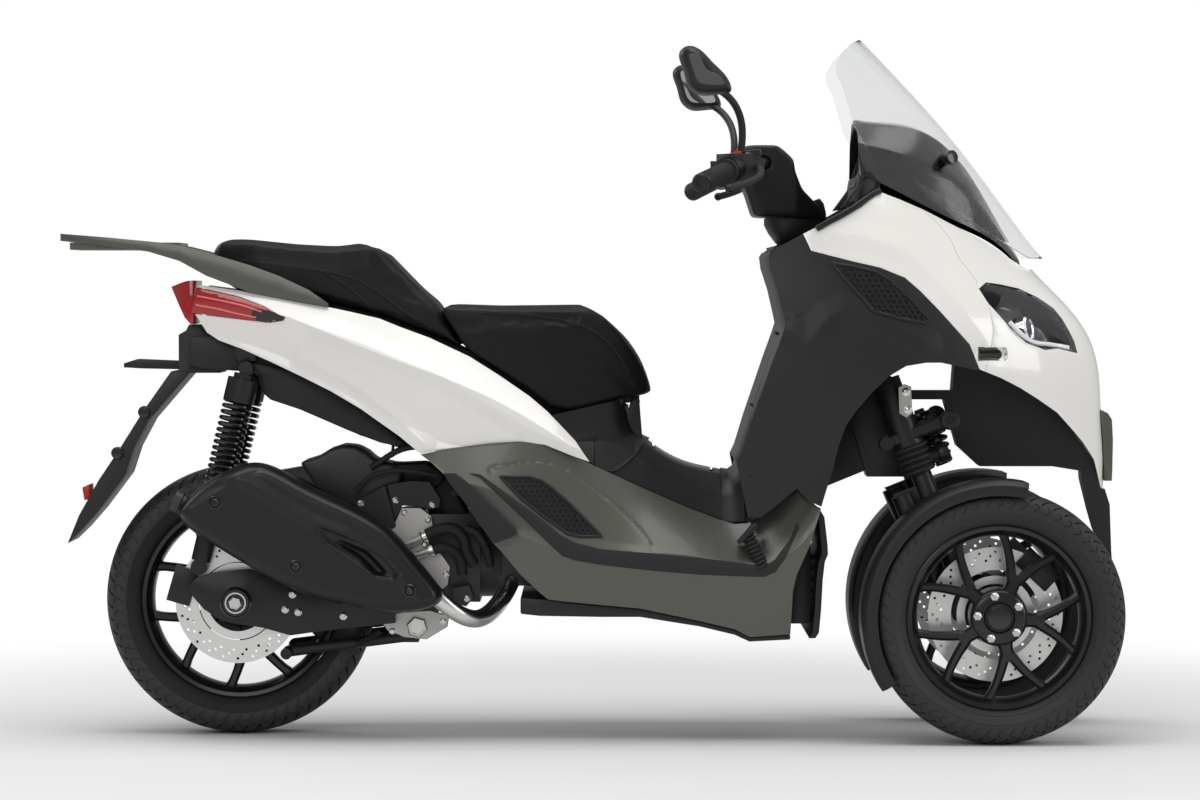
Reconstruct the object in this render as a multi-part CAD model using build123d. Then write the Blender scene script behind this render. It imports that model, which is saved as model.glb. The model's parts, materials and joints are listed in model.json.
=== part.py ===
# Three-wheel motor scooter, as an assembly of separate solids.
# Millimetres. +X forward, +Y left, +Z up, origin on the ground under the middle of the scooter.
# One-sided pieces are drawn on the right (-Y) and mirrored to the left.
import math
import os
from build123d import *

# Wheels
REAR_TYRE_R = 262
REAR_TYRE_W = 140
REAR_RIM_R = 192
REAR_AXLE_X = -678
FRONT_TYRE_R = 242
FRONT_TYRE_W = 110
FRONT_RIM_R = 176
FRONT_AXLE_X = 778
FRONT_TRACK = 450
REAR_DISC_R = 120
FRONT_DISC_R = 129
DISC_T = 5
AXLE_R = 11
FRONT_HUB_R = 58
REAR_HUB_R = 60
REAR_DISC_Y = -90
FRONT_DISC_Y = 58
CALIPER_TURN = 16
SPOKE_PAIRS = 5

# Steering
RAKE = 21
KINGPIN_Y = 140
KINGPIN_TOP = (574, 675)
FRAME_R = 10
BAR_AXIS = (363, 1107)
TUBE_R = 28
LEG_R = 20
BAR_R = 11
STEM_R = 16

# Skins and gaps
SKIN_T = 4
PANEL_GAP = 0.5
MOVE_GAP = 5
FRONT_CROSS_X = 285
PIN_GAP = 0.5
SEAT_GAP = 0.4

# Seat, box and tunnel
SEAT_HINGE = (90, 646)
HINGE_HALF = 48
HINGE_PIN_R = 4
BOX_HALF = 114
CROSS_TUBE = (-520, 712)
BOX_WALL = 4
FLAP_X = (128, 236)
FLAP_HALF = 46
LID_Z = (640, 775)
LID_HALF = 105
LID_T = 10

# Carrier
CARRIER_Z = 954
CARRIER_T = 14
CARRIER_X = -900
CARRIER_HOLE_R = 4.25
CARRIER_HOLE_STEP = 60

# Stand
STAND_PIVOT = (-345, 195)
STAND_LEG = 235
STAND_HALF = 90
STAND_TUBE_R = 11

REAR_AXLE_Z = REAR_TYRE_R
FRONT_AXLE_Z = FRONT_TYRE_R
FRONT_Y = FRONT_TRACK / 2
RAKE_TAN = math.tan(math.radians(RAKE))
RAKE_SIN = math.sin(math.radians(RAKE))
RAKE_COS = math.cos(math.radians(RAKE))


def kingpin_x(z):
    return KINGPIN_TOP[0] + (KINGPIN_TOP[1] - z) * RAKE_TAN


def bar_axis_x(z):
    return BAR_AXIS[0] + (BAR_AXIS[1] - z) * RAKE_TAN


def mirror_y(shape):
    return mirror(shape, about=Plane.XZ)


def both(shape):
    return Part() + [shape, mirror_y(shape)]


def side_face(points):
    # flat outline in the X-Z plane
    return make_face(Polyline(*points, close=True))


def prism(points, y0, y1):
    # side outline carried across from y0 to y1
    return Pos(0, y1, 0) * extrude(Plane.XZ * side_face(points), amount=y1 - y0)


def plan_prism(points, z0, z1):
    return Pos(0, 0, z0) * extrude(make_face(Polyline(*points, close=True)), amount=z1 - z0)


def tube(points, radius):
    # round bar along a smooth line
    path = Spline(*points) if len(points) > 2 else Line(*points)
    start = Plane(origin=path @ 0, z_dir=path % 0)
    return sweep(start * Circle(radius), path=path)


def rod(a, b, radius):
    axis = Vector(*b) - Vector(*a)
    return extrude(Plane(origin=a, z_dir=axis) * Circle(radius), amount=axis.length)


def cross_pin(x, z, y0, y1, radius):
    return rod((x, y0, z), (x, y1, z), radius)


def skin_loft(wires, ruled=False):
    return loft([make_face(w) for w in wires], ruled=ruled)


def wall_shell(stations, thick, shift=0):
    # right-hand wall: each station is (x, [(half width, z), ...] from top to bottom)
    wires = []
    for x, row in stations:
        outer = [(x, -(w + shift), z) for w, z in row]
        inner = [(x, -(w + shift - thick), z) for w, z in reversed(row)]
        wires.append(Polyline(*outer, *inner, close=True))
    return skin_loft(wires)


def arch_shell(stations, thick):
    # roof from side to side: each station is (x, top z, foot z, foot half width)
    wires = []
    for x, top, foot, half in stations:
        row = [(half, foot), (half - 0.12 * half, foot + 0.55 * (top - foot)), (0.5 * half, top - 8)]
        drop = [(half - thick, foot), (row[1][0] - thick, row[1][1] - thick / 2), (row[2][0], row[2][1] - thick)]
        outer = [(x, -w, z) for w, z in row] + [(x, 0, top)] + [(x, w, z) for w, z in reversed(row)]
        inner = [(x, w, z) for w, z in drop] + [(x, 0, top - thick)] + [(x, -w, z) for w, z in reversed(drop)]
        wires.append(Polyline(*outer, *inner, close=True))
    return skin_loft(wires)


def bow(z, nose, pairs):
    # symmetrical plan curve at one height, from the right rear round the nose to the left rear
    right = [(x, -y, z) for x, y in pairs]
    left = [(x, y, z) for x, y in reversed(pairs)]
    return Spline(*right, (nose, 0, z), *left)


def bow_shell(levels, thick):
    # wrap-round skin: each level is (z, nose x, (cheek), (shoulder), (rear))
    wires = []
    for z, nose, cheek, shoulder, rear in levels:
        outer = bow(z, nose, [rear, shoulder, cheek])
        slim = [rear[0], rear[1] - thick], [shoulder[0] - 0.3 * thick, shoulder[1] - thick]
        slim += ([cheek[0] - thick, cheek[1] - thick],)
        inner = bow(z, nose - 1.3 * thick, slim)
        wires.append(Wire([outer, Line(outer @ 1, inner @ 1), inner, Line(inner @ 0, outer @ 0)]))
    return skin_loft(wires)


def half(shape, side):
    # the solids on one side: -1 right, +1 left
    return Part() + [s for s in shape.solids() if s.center().Y * side > 0]


FAIRING_LEVELS = [
    (430, 1006, (980, 40), (560, 232), (270, 228)),
    (520, 1004, (975, 50), (600, 240), (270, 232)),
    (620, 998, (955, 75), (640, 250), (270, 238)),
    (720, 990, (930, 100), (680, 250), (270, 240)),
    (800, 956, (885, 118), (670, 246), (270, 238)),
    (870, 893, (815, 128), (630, 238), (270, 232)),
    (940, 833, (760, 128), (590, 226), (270, 224)),
    (1010, 793, (720, 122), (560, 208), (270, 212)),
    (1075, 752, (680, 110), (540, 180), (270, 195)),
]
WHITE_LOWER = [(406, 969), (421, 937), (495, 918), (552, 905), (599, 886), (628, 861), (666, 822), (704, 780),
               (723, 759), (732, 736), (742, 712)]
WHITE_ARCH = [(785, 695), (823, 676), (861, 653), (900, 627), (928, 598), (955, 569), (980, 534), (997, 476)]
WHITE_TOP = [(848, 902), (819, 919), (790, 938), (742, 965), (690, 990), (638, 1016), (593, 1035), (553, 1050),
             (545, 1044), (517, 1019), (459, 995)]
NOSE_SEAM = [(638, 1016), (668, 988), (691, 960), (707, 922), (740, 880), (744, 865), (761, 838), (770, 790),
             (762, 740), (752, 705)]
LAMP_EDGE = [(744, 865), (759, 877), (788, 873), (826, 865), (864, 848), (897, 827), (914, 806), (926, 785),
             (937, 764), (943, 741), (903, 750), (874, 748), (836, 762), (807, 787), (784, 813), (761, 838)]
ARCH_EDGE = [(738, 710), (705, 717), (667, 725), (638, 725), (600, 719), (568, 700), (534, 668), (505, 634),
             (486, 605), (473, 567), (462, 520), (450, 482), (441, 452)]
SHIELD_REAR = [(281, 536), (290, 555), (309, 616), (332, 682), (347, 726), (366, 778), (372, 797), (368, 816),
               (357, 863), (343, 905), (340, 928), (351, 939)]
NOSE_FRONT_X = 1060


def front_skins():
    skin = bow_shell(FAIRING_LEVELS, SKIN_T)
    white = WHITE_LOWER + WHITE_ARCH + [(NOSE_FRONT_X, 476), (NOSE_FRONT_X, 904)] + WHITE_TOP
    white_body = prism(white, -300, 300)
    nose_zone = NOSE_SEAM[::-1] + [(NOSE_FRONT_X, 1016), (NOSE_FRONT_X, 440), (752, 440)]
    nose_block = prism(nose_zone, -300, 300)
    nose_grown = Pos(-PANEL_GAP, 0, 0) * nose_block
    lamp_block = prism(LAMP_EDGE, -300, 300)
    lamp_hole = extrude(Plane.XZ.offset(-300) * offset(side_face(LAMP_EDGE), PANEL_GAP), amount=600)
    lamp_hole += both(indicator(PANEL_GAP))
    nose = (skin & white_body & nose_block) - lamp_hole
    sides = ((skin & white_body) - nose_grown) - lamp_hole
    lenses = Pos(-1, 0, 0) * skin & lamp_block
    black = WHITE_LOWER + ARCH_EDGE + [(416, 463), (395, 486.5), (376, 470.5), (347, 446.5), (318, 424.5),
                                       (305, 417.5)]
    black += SHIELD_REAR + [(380, 955)]
    grown = extrude(Plane.XZ.offset(-300) * offset(side_face(white), PANEL_GAP), amount=600)
    shields = (skin & prism(black, -300, 300)) - grown
    return skin, nose, sides, lenses, shields


def nearest(shape, point):
    # of the solids in a shape, the one whose middle lies nearest a point
    return Part() + min(shape.solids(), key=lambda s: (s.center() - Vector(*point)).length)


def leg_shield(skin):
    back = SHIELD_REAR[:-1] + [(345, 937 - SEAT_GAP)]
    front = [(x + 24, z) for x, z in reversed(back)]
    band = nearest(prism(back + front, -260, 260) - skin, (350, 0, 740))
    z0, z1 = LID_Z
    window = Pos(340, 0, (z0 + z1) / 2) * Box(200, 2 * (LID_HALF + MOVE_GAP), z1 - z0 + 2 * MOVE_GAP)
    lid_zone = Pos(340, 0, (z0 + z1) / 2) * Box(200, 2 * LID_HALF, z1 - z0)
    lid_back = [(x + LID_T, z) for x, z in reversed(back)]
    lid = prism(back + lid_back, -LID_HALF, LID_HALF) & lid_zone
    mouth = [(x + LID_T + 2 * SEAT_GAP, z) for x, z in back if z0 < z < z1]
    low, high = z0 - MOVE_GAP + SEAT_GAP, z1 + MOVE_GAP - SEAT_GAP
    start, end = 329, 378
    tub_half = LID_HALF + MOVE_GAP - SEAT_GAP
    tub = prism([(start, low)] + mouth + [(end, high), (442, high - 10), (442, low + 10)], -tub_half, tub_half)
    hollow = prism([(300, low + 4), (438, low + 14), (438, high - 14), (300, high - 4)], -tub_half + 4,
                   tub_half - 4)
    return band - window, lid, tub - hollow


BODY_STATIONS = [
    (-320, [(205, 585), (226, 500), (226, 380), (204, 250)]),
    (-200, [(207, 585), (235, 490), (235, 400), (208, 255)]),
    (-100, [(206, 585), (242, 430), (242, 380), (212, 245)]),
    (0, [(186, 548), (244, 376), (244, 340), (214, 230)]),
    (120, [(150, 485), (244, 364), (244, 330), (214, 220)]),
    (250, [(130, 432), (244, 350), (244, 318), (214, 195)]),
    (330, [(150, 440), (243, 345), (243, 318), (214, 190)]),
    (445, [(225, 500), (240, 440), (240, 380), (214, 190)]),
]
MAT_TOP = [(395, 420), (382, 389), (353, 352), (334, 338), (287, 346), (211, 355), (126, 363), (22, 372),
           (-26, 384), (-54, 399), (-92, 431), (-168, 486), (-206, 513), (-225, 515)]
MAT_LOW = [(-206, 507), (-168, 471), (-102, 408), (-51, 359), (-26, 350), (22, 342), (116, 331), (211, 323),
           (315, 319), (334, 319), (353, 327), (372, 352), (400, 412)]
TUNNEL_LINE = [(2, 532), (60, 505), (117, 478), (194, 444), (251, 423), (280, 415), (305, 417), (318, 424),
               (347, 446), (376, 470), (395, 486)]
SKIRT_LOW = [(441, 448), (420, 379), (395, 322), (388, 290), (384, 207), (306, 202), (278, 217), (211, 233),
             (97, 257), (-54, 271), (-77, 274), (-92, 286), (-130, 322), (-168, 369), (-182, 383), (-262, 500),
             (-300, 535), (-320, 550)]
GREY_TOP = [(-277, 558.4), (-188, 569.4), (-131, 573.4), (-83, 567.4), (-36, 548.4)]


def side_skirt():
    skin = wall_shell(BODY_STATIONS, 6)
    line = GREY_TOP + [(x, z - PANEL_GAP) for x, z in TUNNEL_LINE] + [(415, 462)]
    return skin & prism(line + SKIRT_LOW, -300, 0)


def floor_mat():
    skin = wall_shell(BODY_STATIONS, 4, shift=4 + SEAT_GAP)
    return skin & prism(MAT_TOP + MAT_LOW, -300, 0)


def passenger_footrest():
    outline = [(-274, 516), (-253, 516), (-234, 503), (-187, 456), (-136, 408), (-145, 395), (-179, 383),
               (-206, 418), (-234, 461), (-263, 497)]
    flap = prism(outline, -266, -252) + cross_pin(-160, 400, -253, -225, 9)
    return nearest(flap - side_skirt(), (-200, -259, 450))


def belly_pan():
    low = [(-130, 246), (-93, 242), (22, 240), (98, 240), (211, 222), (278, 206), (306, 193), (384, 197)]
    roof = [(384, 206.4), (306, 201.4), (278, 216.4), (211, 232.4), (97, 256.4), (-54, 270.4), (-77, 273.4),
            (-130, 277)]
    return prism(low + roof, -213, 213)


def lower_shield():
    # black front wall behind the wheels with a row of cooling slots
    front = [(441, 444), (449, 430), (455, 378), (456, 359), (450, 345), (446, 311), (443, 254), (439, 210),
             (432, 199)]
    back = [(x - 12, z) for x, z in reversed(front)]
    wall = prism(front + back, -205, 205)
    for row in range(5):
        wall -= Pos(440, 0, 250 + 22 * row) * Box(60, 190, 12)
    return wall


def radiator():
    return Pos(408.5, 0, 295) * Box(37, 230, 150)


TAIL_STATIONS = [
    (-830, [(70, 905), (95, 860), (88, 800), (80, 735)]),
    (-740, [(95, 895), (118, 845), (108, 785), (112, 735)]),
    (-580, [(130, 855), (160, 812), (148, 735), (154, 685)]),
    (-440, [(150, 820), (188, 757), (176, 660), (184, 610)]),
    (-320, [(160, 780), (204, 712), (194, 590), (204, 535)]),
    (-200, [(166, 720), (210, 664), (203, 560), (210, 515)]),
    (-90, [(172, 645), (212, 603), (208, 560), (212, 515)]),
    (20, [(180, 565), (208, 545), (206, 520), (206, 475)]),
]
SEAT_LINE = [(-667, 861), (-558, 840), (-495, 829), (-457, 821), (-401, 808), (-361, 792), (-304, 771),
             (-227, 735), (-170, 699), (-112, 659), (-78, 630)]
TAIL_LOW = [(-26, 576), (2, 535), (-36, 549), (-83, 568), (-131, 574), (-188, 570), (-277, 559), (-321, 551),
            (-360, 583), (-436, 636), (-493, 669), (-550, 697), (-608, 724), (-665, 749), (-712, 766),
            (-735, 781), (-751, 806), (-758, 816)]
LAMP_SIDE = [(-651, 804), (-613, 800), (-586, 811), (-623, 832), (-671, 850), (-756, 869)]


def tail_panel():
    outline = [(-747, 872)] + SEAT_LINE + TAIL_LOW + LAMP_SIDE
    return wall_shell(TAIL_STATIONS, SKIN_T) & prism(outline, -300, 0)


def tail_lamp():
    wedge = Plane.XZ * offset(side_face([(-766, 818)] + LAMP_SIDE), -PANEL_GAP)
    side = wall_shell(TAIL_STATIONS, SKIN_T) & extrude(wedge, amount=300)
    core = prism([(-809, 869), (-776, 880), (-762, 881), (-762, 800), (-768, 796), (-780, 809)], -88, 88)
    rounder = plan_prism([(-812, -50), (-790, -80), (-770, -88), (-750, -88), (-750, 88), (-770, 88), (-790, 80),
                          (-812, 50)], 780, 900)
    return both(side) + (core & rounder)


def under_tail():
    low = [(-345, 556), (-402, 568), (-460, 590), (-557, 632), (-614, 651), (-630, 665), (-630, 697)]
    top = [(-684.5, 728), (-640, 722), (-560, CROSS_TUBE[1] - 9 - SEAT_GAP), (-490, CROSS_TUBE[1] - 9 - SEAT_GAP),
           (-441, 640), (-362, 572)]
    return prism(low + top, -95, 95)


def plate_holder():
    block = prism([(-794, 776), (-780, 784), (-774, 796 - SEAT_GAP), (-758, 796 - SEAT_GAP), (-747, 782),
                   (-714, 757), (-685, 728), (-714, 702), (-794, 702)], -62, 62)
    arm = prism([(-806, 706), (-859, 631), (-908, 553), (-947, 495), (-985, 427), (-1007, 373), (-981, 398),
                 (-947, 437), (-896, 505), (-879, 557), (-850, 611), (-770, 704)], -88, 88)
    lamp_arm = prism([(-904, 720), (-879, 728), (-780, 724), (-780, 708), (-869, 710), (-904, 712)], -26, 26)
    return block + arm + lamp_arm


RAIL_STATIONS = [(-1018.5, 957, 971, 80, 24), (-930, 948, 964, 98, 26), (-846, 936, 956, 106, 26),
                 (-786, 918, 948, 110, 26), (-735, 890, 935, 114, 24), (-653, 859, 911, 124, 22),
                 (-595, 847.8, 890, 132, 20), (-537, 837, 863, 141, 18), (-499, 830.4, 837, 148, 12)]


def rear_rack():
    wires = []
    for x, z0, z1, y, width in RAIL_STATIONS:
        a, b = -(y - width / 2), -(y + width / 2)
        wires.append(Polyline((x, a, z0), (x, b, z0), (x, b, z1), (x, a, z1), close=True))
    rail = skin_loft(wires, True)
    plate = Pos(CARRIER_X + 5, 0, CARRIER_Z - CARRIER_T / 2) * Box(210, 190, CARRIER_T)
    deck = plate - prism([(-1010, CARRIER_Z), (-840, CARRIER_Z + 30), (-1010, CARRIER_Z + 30)], -75, 75)
    rack = both(rail) + deck
    for i in (-1, 1):
        for j in (-1, 1):
            x = CARRIER_X + i * CARRIER_HOLE_STEP
            y = j * CARRIER_HOLE_STEP
            rack -= Pos(x, y, CARRIER_Z) * Cylinder(CARRIER_HOLE_R, 80)
            rack -= Pos(x, y, CARRIER_Z + 20) * Cylinder(14, 40)
    for j in (-1, 0, 1):
        rack -= Pos(CARRIER_X, j * 30, CARRIER_Z) * Box(80, 14, 80)
    return rack


SEAT_UNDER = [(-725, 896)] + SEAT_LINE + [(-40, 622), (10, 634), (60, 646), (112, 652)]
CUSHION_RISE = 8
RIDER_PLAN = [(126, 40), (112, 82), (60, 116), (0, 138), (-100, 160), (-200, 166), (-300, 162)]
PILLION_PLAN = [(-220, 158), (-300, 150), (-420, 140), (-500, 126), (-560, 114), (-650, 100), (-715, 78),
                (-734, 50)]


def plan_band(rows):
    right = [(x, -w) for x, w in rows]
    left = [(x, w) for x, w in reversed(rows)]
    return right + left


def raised(rise):
    return [(x, z + rise) for x, z in SEAT_UNDER]


def rider_cushion():
    top = [(125, 668), (123, 676), (109, 707), (90, 742), (60, 783), (31, 812), (-2, 830), (-174, 828),
           (-289, 832), (-258, 786), (-243, 760), (-234, 752)]
    under = [p for p in raised(CUSHION_RISE) if -228 < p[0] < 115]
    return prism(top + under, -200, 200) & plan_prism(plan_band(RIDER_PLAN), 500, 1100)


def passenger_cushion():
    top = [(-239, 754), (-249, 762), (-264, 786), (-296, 836), (-330, 865), (-368, 904), (-409, 947), (-417, 951),
           (-437, 949), (-486, 943), (-564, 947), (-661, 957), (-716, 957), (-725, 949), (-733, 933)]
    under = [p for p in raised(CUSHION_RISE) if p[0] < -240]
    return prism(top + under, -200, 200) & plan_prism(plan_band(PILLION_PLAN), 500, 1100)


def seat_base():
    rows = [p for p in SEAT_UNDER if p[0] < 100] + [(98, 650.4)]
    top = [(x, z + CUSHION_RISE - SEAT_GAP) for x, z in rows]
    low = [(x, z - 4) for x, z in reversed(rows)]
    plate = prism(top + low, -90, 90)
    for side in (-1, 1):
        plate -= Pos(SEAT_HINGE[0], side * (HINGE_HALF + 50), 650) * Box(50, 100, 60)
    plate += cross_pin(*SEAT_HINGE, -HINGE_HALF, HINGE_HALF, 9)
    return plate - cross_pin(*SEAT_HINGE, -90, 90, HINGE_PIN_R + PIN_GAP)


def helmet_box():
    rim = [p for p in SEAT_LINE if -560 < p[0]]
    top = [(x, z - 4 - SEAT_GAP) for x, z in rim] + [(-45, 612), (0, 616)]
    low = [(0, 480), (-250, 480), (-290, 640), (-558, 745)]
    outer = prism(top + low, -BOX_HALF, BOX_HALF)
    hole_top = [(x, z + 30) for x, z in top]
    hole_top[0] = (hole_top[0][0] + BOX_WALL, hole_top[0][1])
    hole_top[-1] = (hole_top[-1][0] - BOX_WALL, hole_top[-1][1])
    hole_low = [(-BOX_WALL, 484), (-247, 484), (-287, 645), (-554, 750)]
    return outer - prism(hole_top + hole_low, -BOX_HALF + BOX_WALL, BOX_HALF - BOX_WALL)


SHOULDER_STATIONS = [(-66, 606, 530, 172), (11, 606, 528, 176)]
SHOULDER_LINE = [(-66, 563), (2, 532), (11, 528), (11, 640), (-66, 640)]
TUNNEL_STATIONS = [(12, 606, 528, 176), (92, 588, 490, 152), (140, 553, 468, 142), (220, 521, 434, 130),
                   (276, 508, 416, 132)]


def seat_shoulders():
    # walls that run back from the tunnel beside the helmet box
    walls = arch_shell(SHOULDER_STATIONS, SKIN_T) & prism(SHOULDER_LINE, -250, 250)
    return walls - Pos(-30, 0, 580) * Box(84, 2 * (BOX_HALF + SEAT_GAP), 200)


def centre_tunnel():
    roof = arch_shell(TUNNEL_STATIONS, SKIN_T)
    skirt = [(x, z + PANEL_GAP) for x, z in TUNNEL_LINE if x < 277] + [(290, 418)]
    roof = roof & prism(skirt + [(290, 660), (0, 660)], -250, 250)
    x0, x1 = FLAP_X
    gap = MOVE_GAP
    hole = Pos((x0 + x1) / 2, 0, 560) * Box(x1 - x0 + 2 * gap, 2 * (FLAP_HALF + gap), 200)
    zone = Pos((x0 + x1) / 2, 0, 560) * Box(x1 - x0, 2 * FLAP_HALF, 200)
    flap = roof & zone
    for side in (-1, 1):
        lug = prism([(66, 590), (104, 570), (98, 646), (94, 653), (86, 653), (82, 646)], -4, 4)
        roof += Pos(0, side * (HINGE_HALF + 7), 0) * lug
    roof += cross_pin(*SEAT_HINGE, -HINGE_HALF - 10, HINGE_HALF + 10, HINGE_PIN_R)
    return roof - hole, flap


def fuel_tank(flap):
    # tank between the frame tubes, with its neck right under the flap
    tank = Pos(178, 0, 380) * Box(153, 150, 160)
    neck = Pos(182, 0, 500) * Rot(0, 22, 0) * Cylinder(30, 120)
    neck = nearest(neck - Pos(0, 0, -SEAT_GAP) * flap, (182, 0, 460))
    return tank + neck


def beak():
    outline = [(954, 567.5), (979.2, 533.2), (996, 475.4), (1004, 475.4), (1014, 445), (1016, 397), (1018, 354), (1020, 330),
               (1003, 348), (983, 397), (972, 436), (958, 494)]
    wires = []
    for z, half_w in ((300, 12), (420, 26), (580, 36)):
        wires.append(Polyline((940, -half_w, z), (1040, -half_w * 0.6, z), (1040, half_w * 0.6, z),
                              (940, half_w, z), close=True))
    return prism(outline, -60, 60) & skin_loft(wires, True)


def nose_fin(skin):
    outline = [(995, 630), (1010, 623), (1018, 610), (1020, 571), (1019, 512), (1018, 491), (1003, 491),
               (1000, 570)]
    return nearest(prism(outline, -20, 20) - Pos(SEAT_GAP, 0, 0) * skin, (1015, 0, 560))


def arch_liner():
    # dark centre wall between the front wheels, under the nose
    outline = [(606.4, 650), (600.6, 689), (640, 735), (724, 750), (790, 730), (880, 658), (940, 590), (962, 550),
               (962, 510), (900, 520), (760, 520), (716, 560), (690, 650)]
    return prism(outline, -34, 34)


def arm_point(along, forward):
    # point on the kingpin line, moved forward square to it
    x = KINGPIN_TOP[0] + along * RAKE_SIN + forward * RAKE_COS
    z = KINGPIN_TOP[1] - along * RAKE_COS + forward * RAKE_SIN
    return x, z


ARM_ALONG = (94, 154)
ARM_FORWARD = (46, 66)
ARM_END_R = 20


def tilt_arms():
    arms = Part()
    for along in ARM_ALONG:
        x0, z0 = arm_point(along, ARM_FORWARD[0])
        x1, z1 = arm_point(along, ARM_FORWARD[1])
        for y in (-KINGPIN_Y, 0, KINGPIN_Y):
            arms += rod((x0, y, z0), (x1, y, z1), ARM_END_R)
        plane = Plane(origin=(x0, 0, z0), x_dir=(0, 1, 0), z_dir=(RAKE_COS, 0, RAKE_SIN))
        arms += extrude(plane * Rectangle(2 * KINGPIN_Y, 1.3 * ARM_END_R), amount=ARM_FORWARD[1] - ARM_FORWARD[0])
    return arms


def side_tube():
    top = (kingpin_x(690), -KINGPIN_Y, 690)
    low = (kingpin_x(512), -KINGPIN_Y, 512)
    body = rod(top, low, TUBE_R)
    for along in ARM_ALONG:
        a = arm_point(along, 0)
        b = arm_point(along, ARM_FORWARD[0] - SEAT_GAP)
        body += rod((a[0], -KINGPIN_Y, a[1]), (b[0], -KINGPIN_Y, b[1]), 14)
    return body


def front_frame():
    tower = prism([(540, 500), (628, 500), (600, 690), (520, 720), (480, 700)], -40, 40)
    spine = prism([(486, 698), (520, 720), (463.5, 914.9), (421.5, 898.8)], -30, 30)
    foot = FRONT_CROSS_X + SEAT_GAP
    down = prism([(foot, 306), (foot, 274), (330, 270), (380, 390), (420, 464), (545, 515), (522, 640),
                  (480, 700), (450, 630), (390, 560)], -30, 30)
    bracket = prism([(330, 270), (390 - SEAT_GAP, 300), (390 - SEAT_GAP, 360), (372, 372)], -20, 20)
    pins = Part()
    for along in ARM_ALONG:
        a = arm_point(along, -10)
        b = arm_point(along, ARM_FORWARD[0] - SEAT_GAP)
        pins += rod((a[0], 0, a[1]), (b[0], 0, b[1]), 14)
    return tower + spine + down + bracket + pins


def main_frame():
    beside = -BOX_HALF - FRAME_R - 2
    rail = tube([(280, -90, 290), (200, -95, 285), (0, -97, 300), (-150, beside, 420), (-230, beside, 560),
                 (-330, beside, 668), (-520, beside, 752), (-570, beside, 768), (-690, -98, 796)], FRAME_R)
    lug = prism([(-676, 726 + SEAT_GAP), (-642, 726 + SEAT_GAP), (-630, 790), (-690, 792)], -118, -104)
    frame = both(rail + lug)
    frame += Pos(FRONT_CROSS_X - 15, 0, 290) * Box(30, 210, 34)
    for side in (-1, 1):
        frame += prism([(-532, 703), (-508, 703), (-508, 752), (-532, 752)], side * 122 - 6, side * 122 + 6)
    return frame + cross_pin(*CROSS_TUBE, -122, 122, 9)


def engine():
    body = Pos(-300, 5.8, 345) * Box(180, 187.6, 170)
    body += Pos(-200, 0, 345) * Rot(0, 90, 0) * Cylinder(80, 60)
    head = Pos(-115, 0, 345) * Box(120, 140, 110)
    lugs = Part()
    for y in (-58, 58):
        lugs += prism([(-372, 265), (-300, 265), (-330, 180), (-360, 180)], y - 8, y + 8)
    lugs -= cross_pin(*STAND_PIVOT, -100, 100, 10 + PIN_GAP)
    mount = cross_pin(-146, 400, -116, 116, 12)
    return body + head + lugs + mount


def transmission_case():
    case = prism([(-760, 262), (-735, 200), (-678, 178), (-560, 196), (-420, 196), (-330, 210), (-230, 260),
                  (-220, 340), (-250, 410), (-330, 440), (-420, 420), (-560, 372), (-690, 331), (-711, 321), (-755, 309)],
                 100, 176)
    cover = prism([(-715, 262), (-678, 215), (-540, 225), (-400, 225), (-300, 250), (-258, 330), (-320, 405),
                   (-410, 390), (-560, 345), (-690, 315)], 176, 188)
    boss = cross_pin(REAR_AXLE_X, REAR_AXLE_Z, 84, 100, 34)
    return case + cover + boss


def air_box():
    return prism([(-640, 340), (-560, 362), (-440, 405), (-420, 500), (-470, 530), (-640, 500), (-690, 440)],
                 140, 195)


def swing_arm():
    outline = [(-772, 292), (-755, 309), (-711, 321), (-651, 325), (-555, 286), (-372, 262), (-372, 222),
               (-517, 206), (-574, 198), (-628, 213), (-671, 220), (-705, 226), (-740, 248), (-760, 271)]
    plate = prism(outline, -126, -102)
    plate += cross_pin(REAR_AXLE_X, REAR_AXLE_Z, -102, -96, 30)
    plate += cross_pin(REAR_AXLE_X, REAR_AXLE_Z, -140, 83, AXLE_R)
    plate += cross_pin(REAR_AXLE_X, REAR_AXLE_Z, -140, -126, 22)
    plate += cross_pin(-368, 262, -126, -88 - SEAT_GAP, 22)
    plate += cross_pin(-450, 266, -172, -126, 10)
    return plate


def rear_caliper():
    a = math.radians(CALIPER_TURN)
    x, z = REAR_AXLE_X - 110 * math.cos(a), REAR_AXLE_Z + 110 * math.sin(a)
    body = Box(46, 24, 70) - Pos(14, 0, 0) * Box(60, DISC_T + 5, 80)
    return Pos(x, REAR_DISC_Y + 0.5, z) * Rot(0, CALIPER_TURN, 0) * body


SHOCK_Y = 117
SHOCK_TOP = (-659, 712)
SHOCK_LOW = (-749.5, 330)


def rear_shock():
    def at(t):
        return (SHOCK_TOP[0] + (SHOCK_LOW[0] - SHOCK_TOP[0]) * t, -SHOCK_Y,
                SHOCK_TOP[1] + (SHOCK_LOW[1] - SHOCK_TOP[1]) * t)

    body = rod(at(0), at(1), 11)
    body += cross_pin(SHOCK_TOP[0], SHOCK_TOP[1], -SHOCK_Y - 12, -SHOCK_Y + 12, 14)
    body += rod(at(0.04), at(0.09), 28)
    body += rod(at(0.09), at(0.62), 31)
    body += rod(at(0.62), at(0.66), 34)
    body += rod(at(0.66), at(0.97), 20)
    body += cross_pin(SHOCK_LOW[0], SHOCK_LOW[1], -SHOCK_Y - 15, -SHOCK_Y + 15, 16)
    return body


SILENCER = [(-776, 450), (-735, 492), (-683, 522), (-635, 534), (-550, 500), (-450, 452), (-378, 408),
            (-310, 330), (-280, 272), (-321, 252), (-416, 254), (-531, 279), (-626, 324), (-721, 381)]


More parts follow.
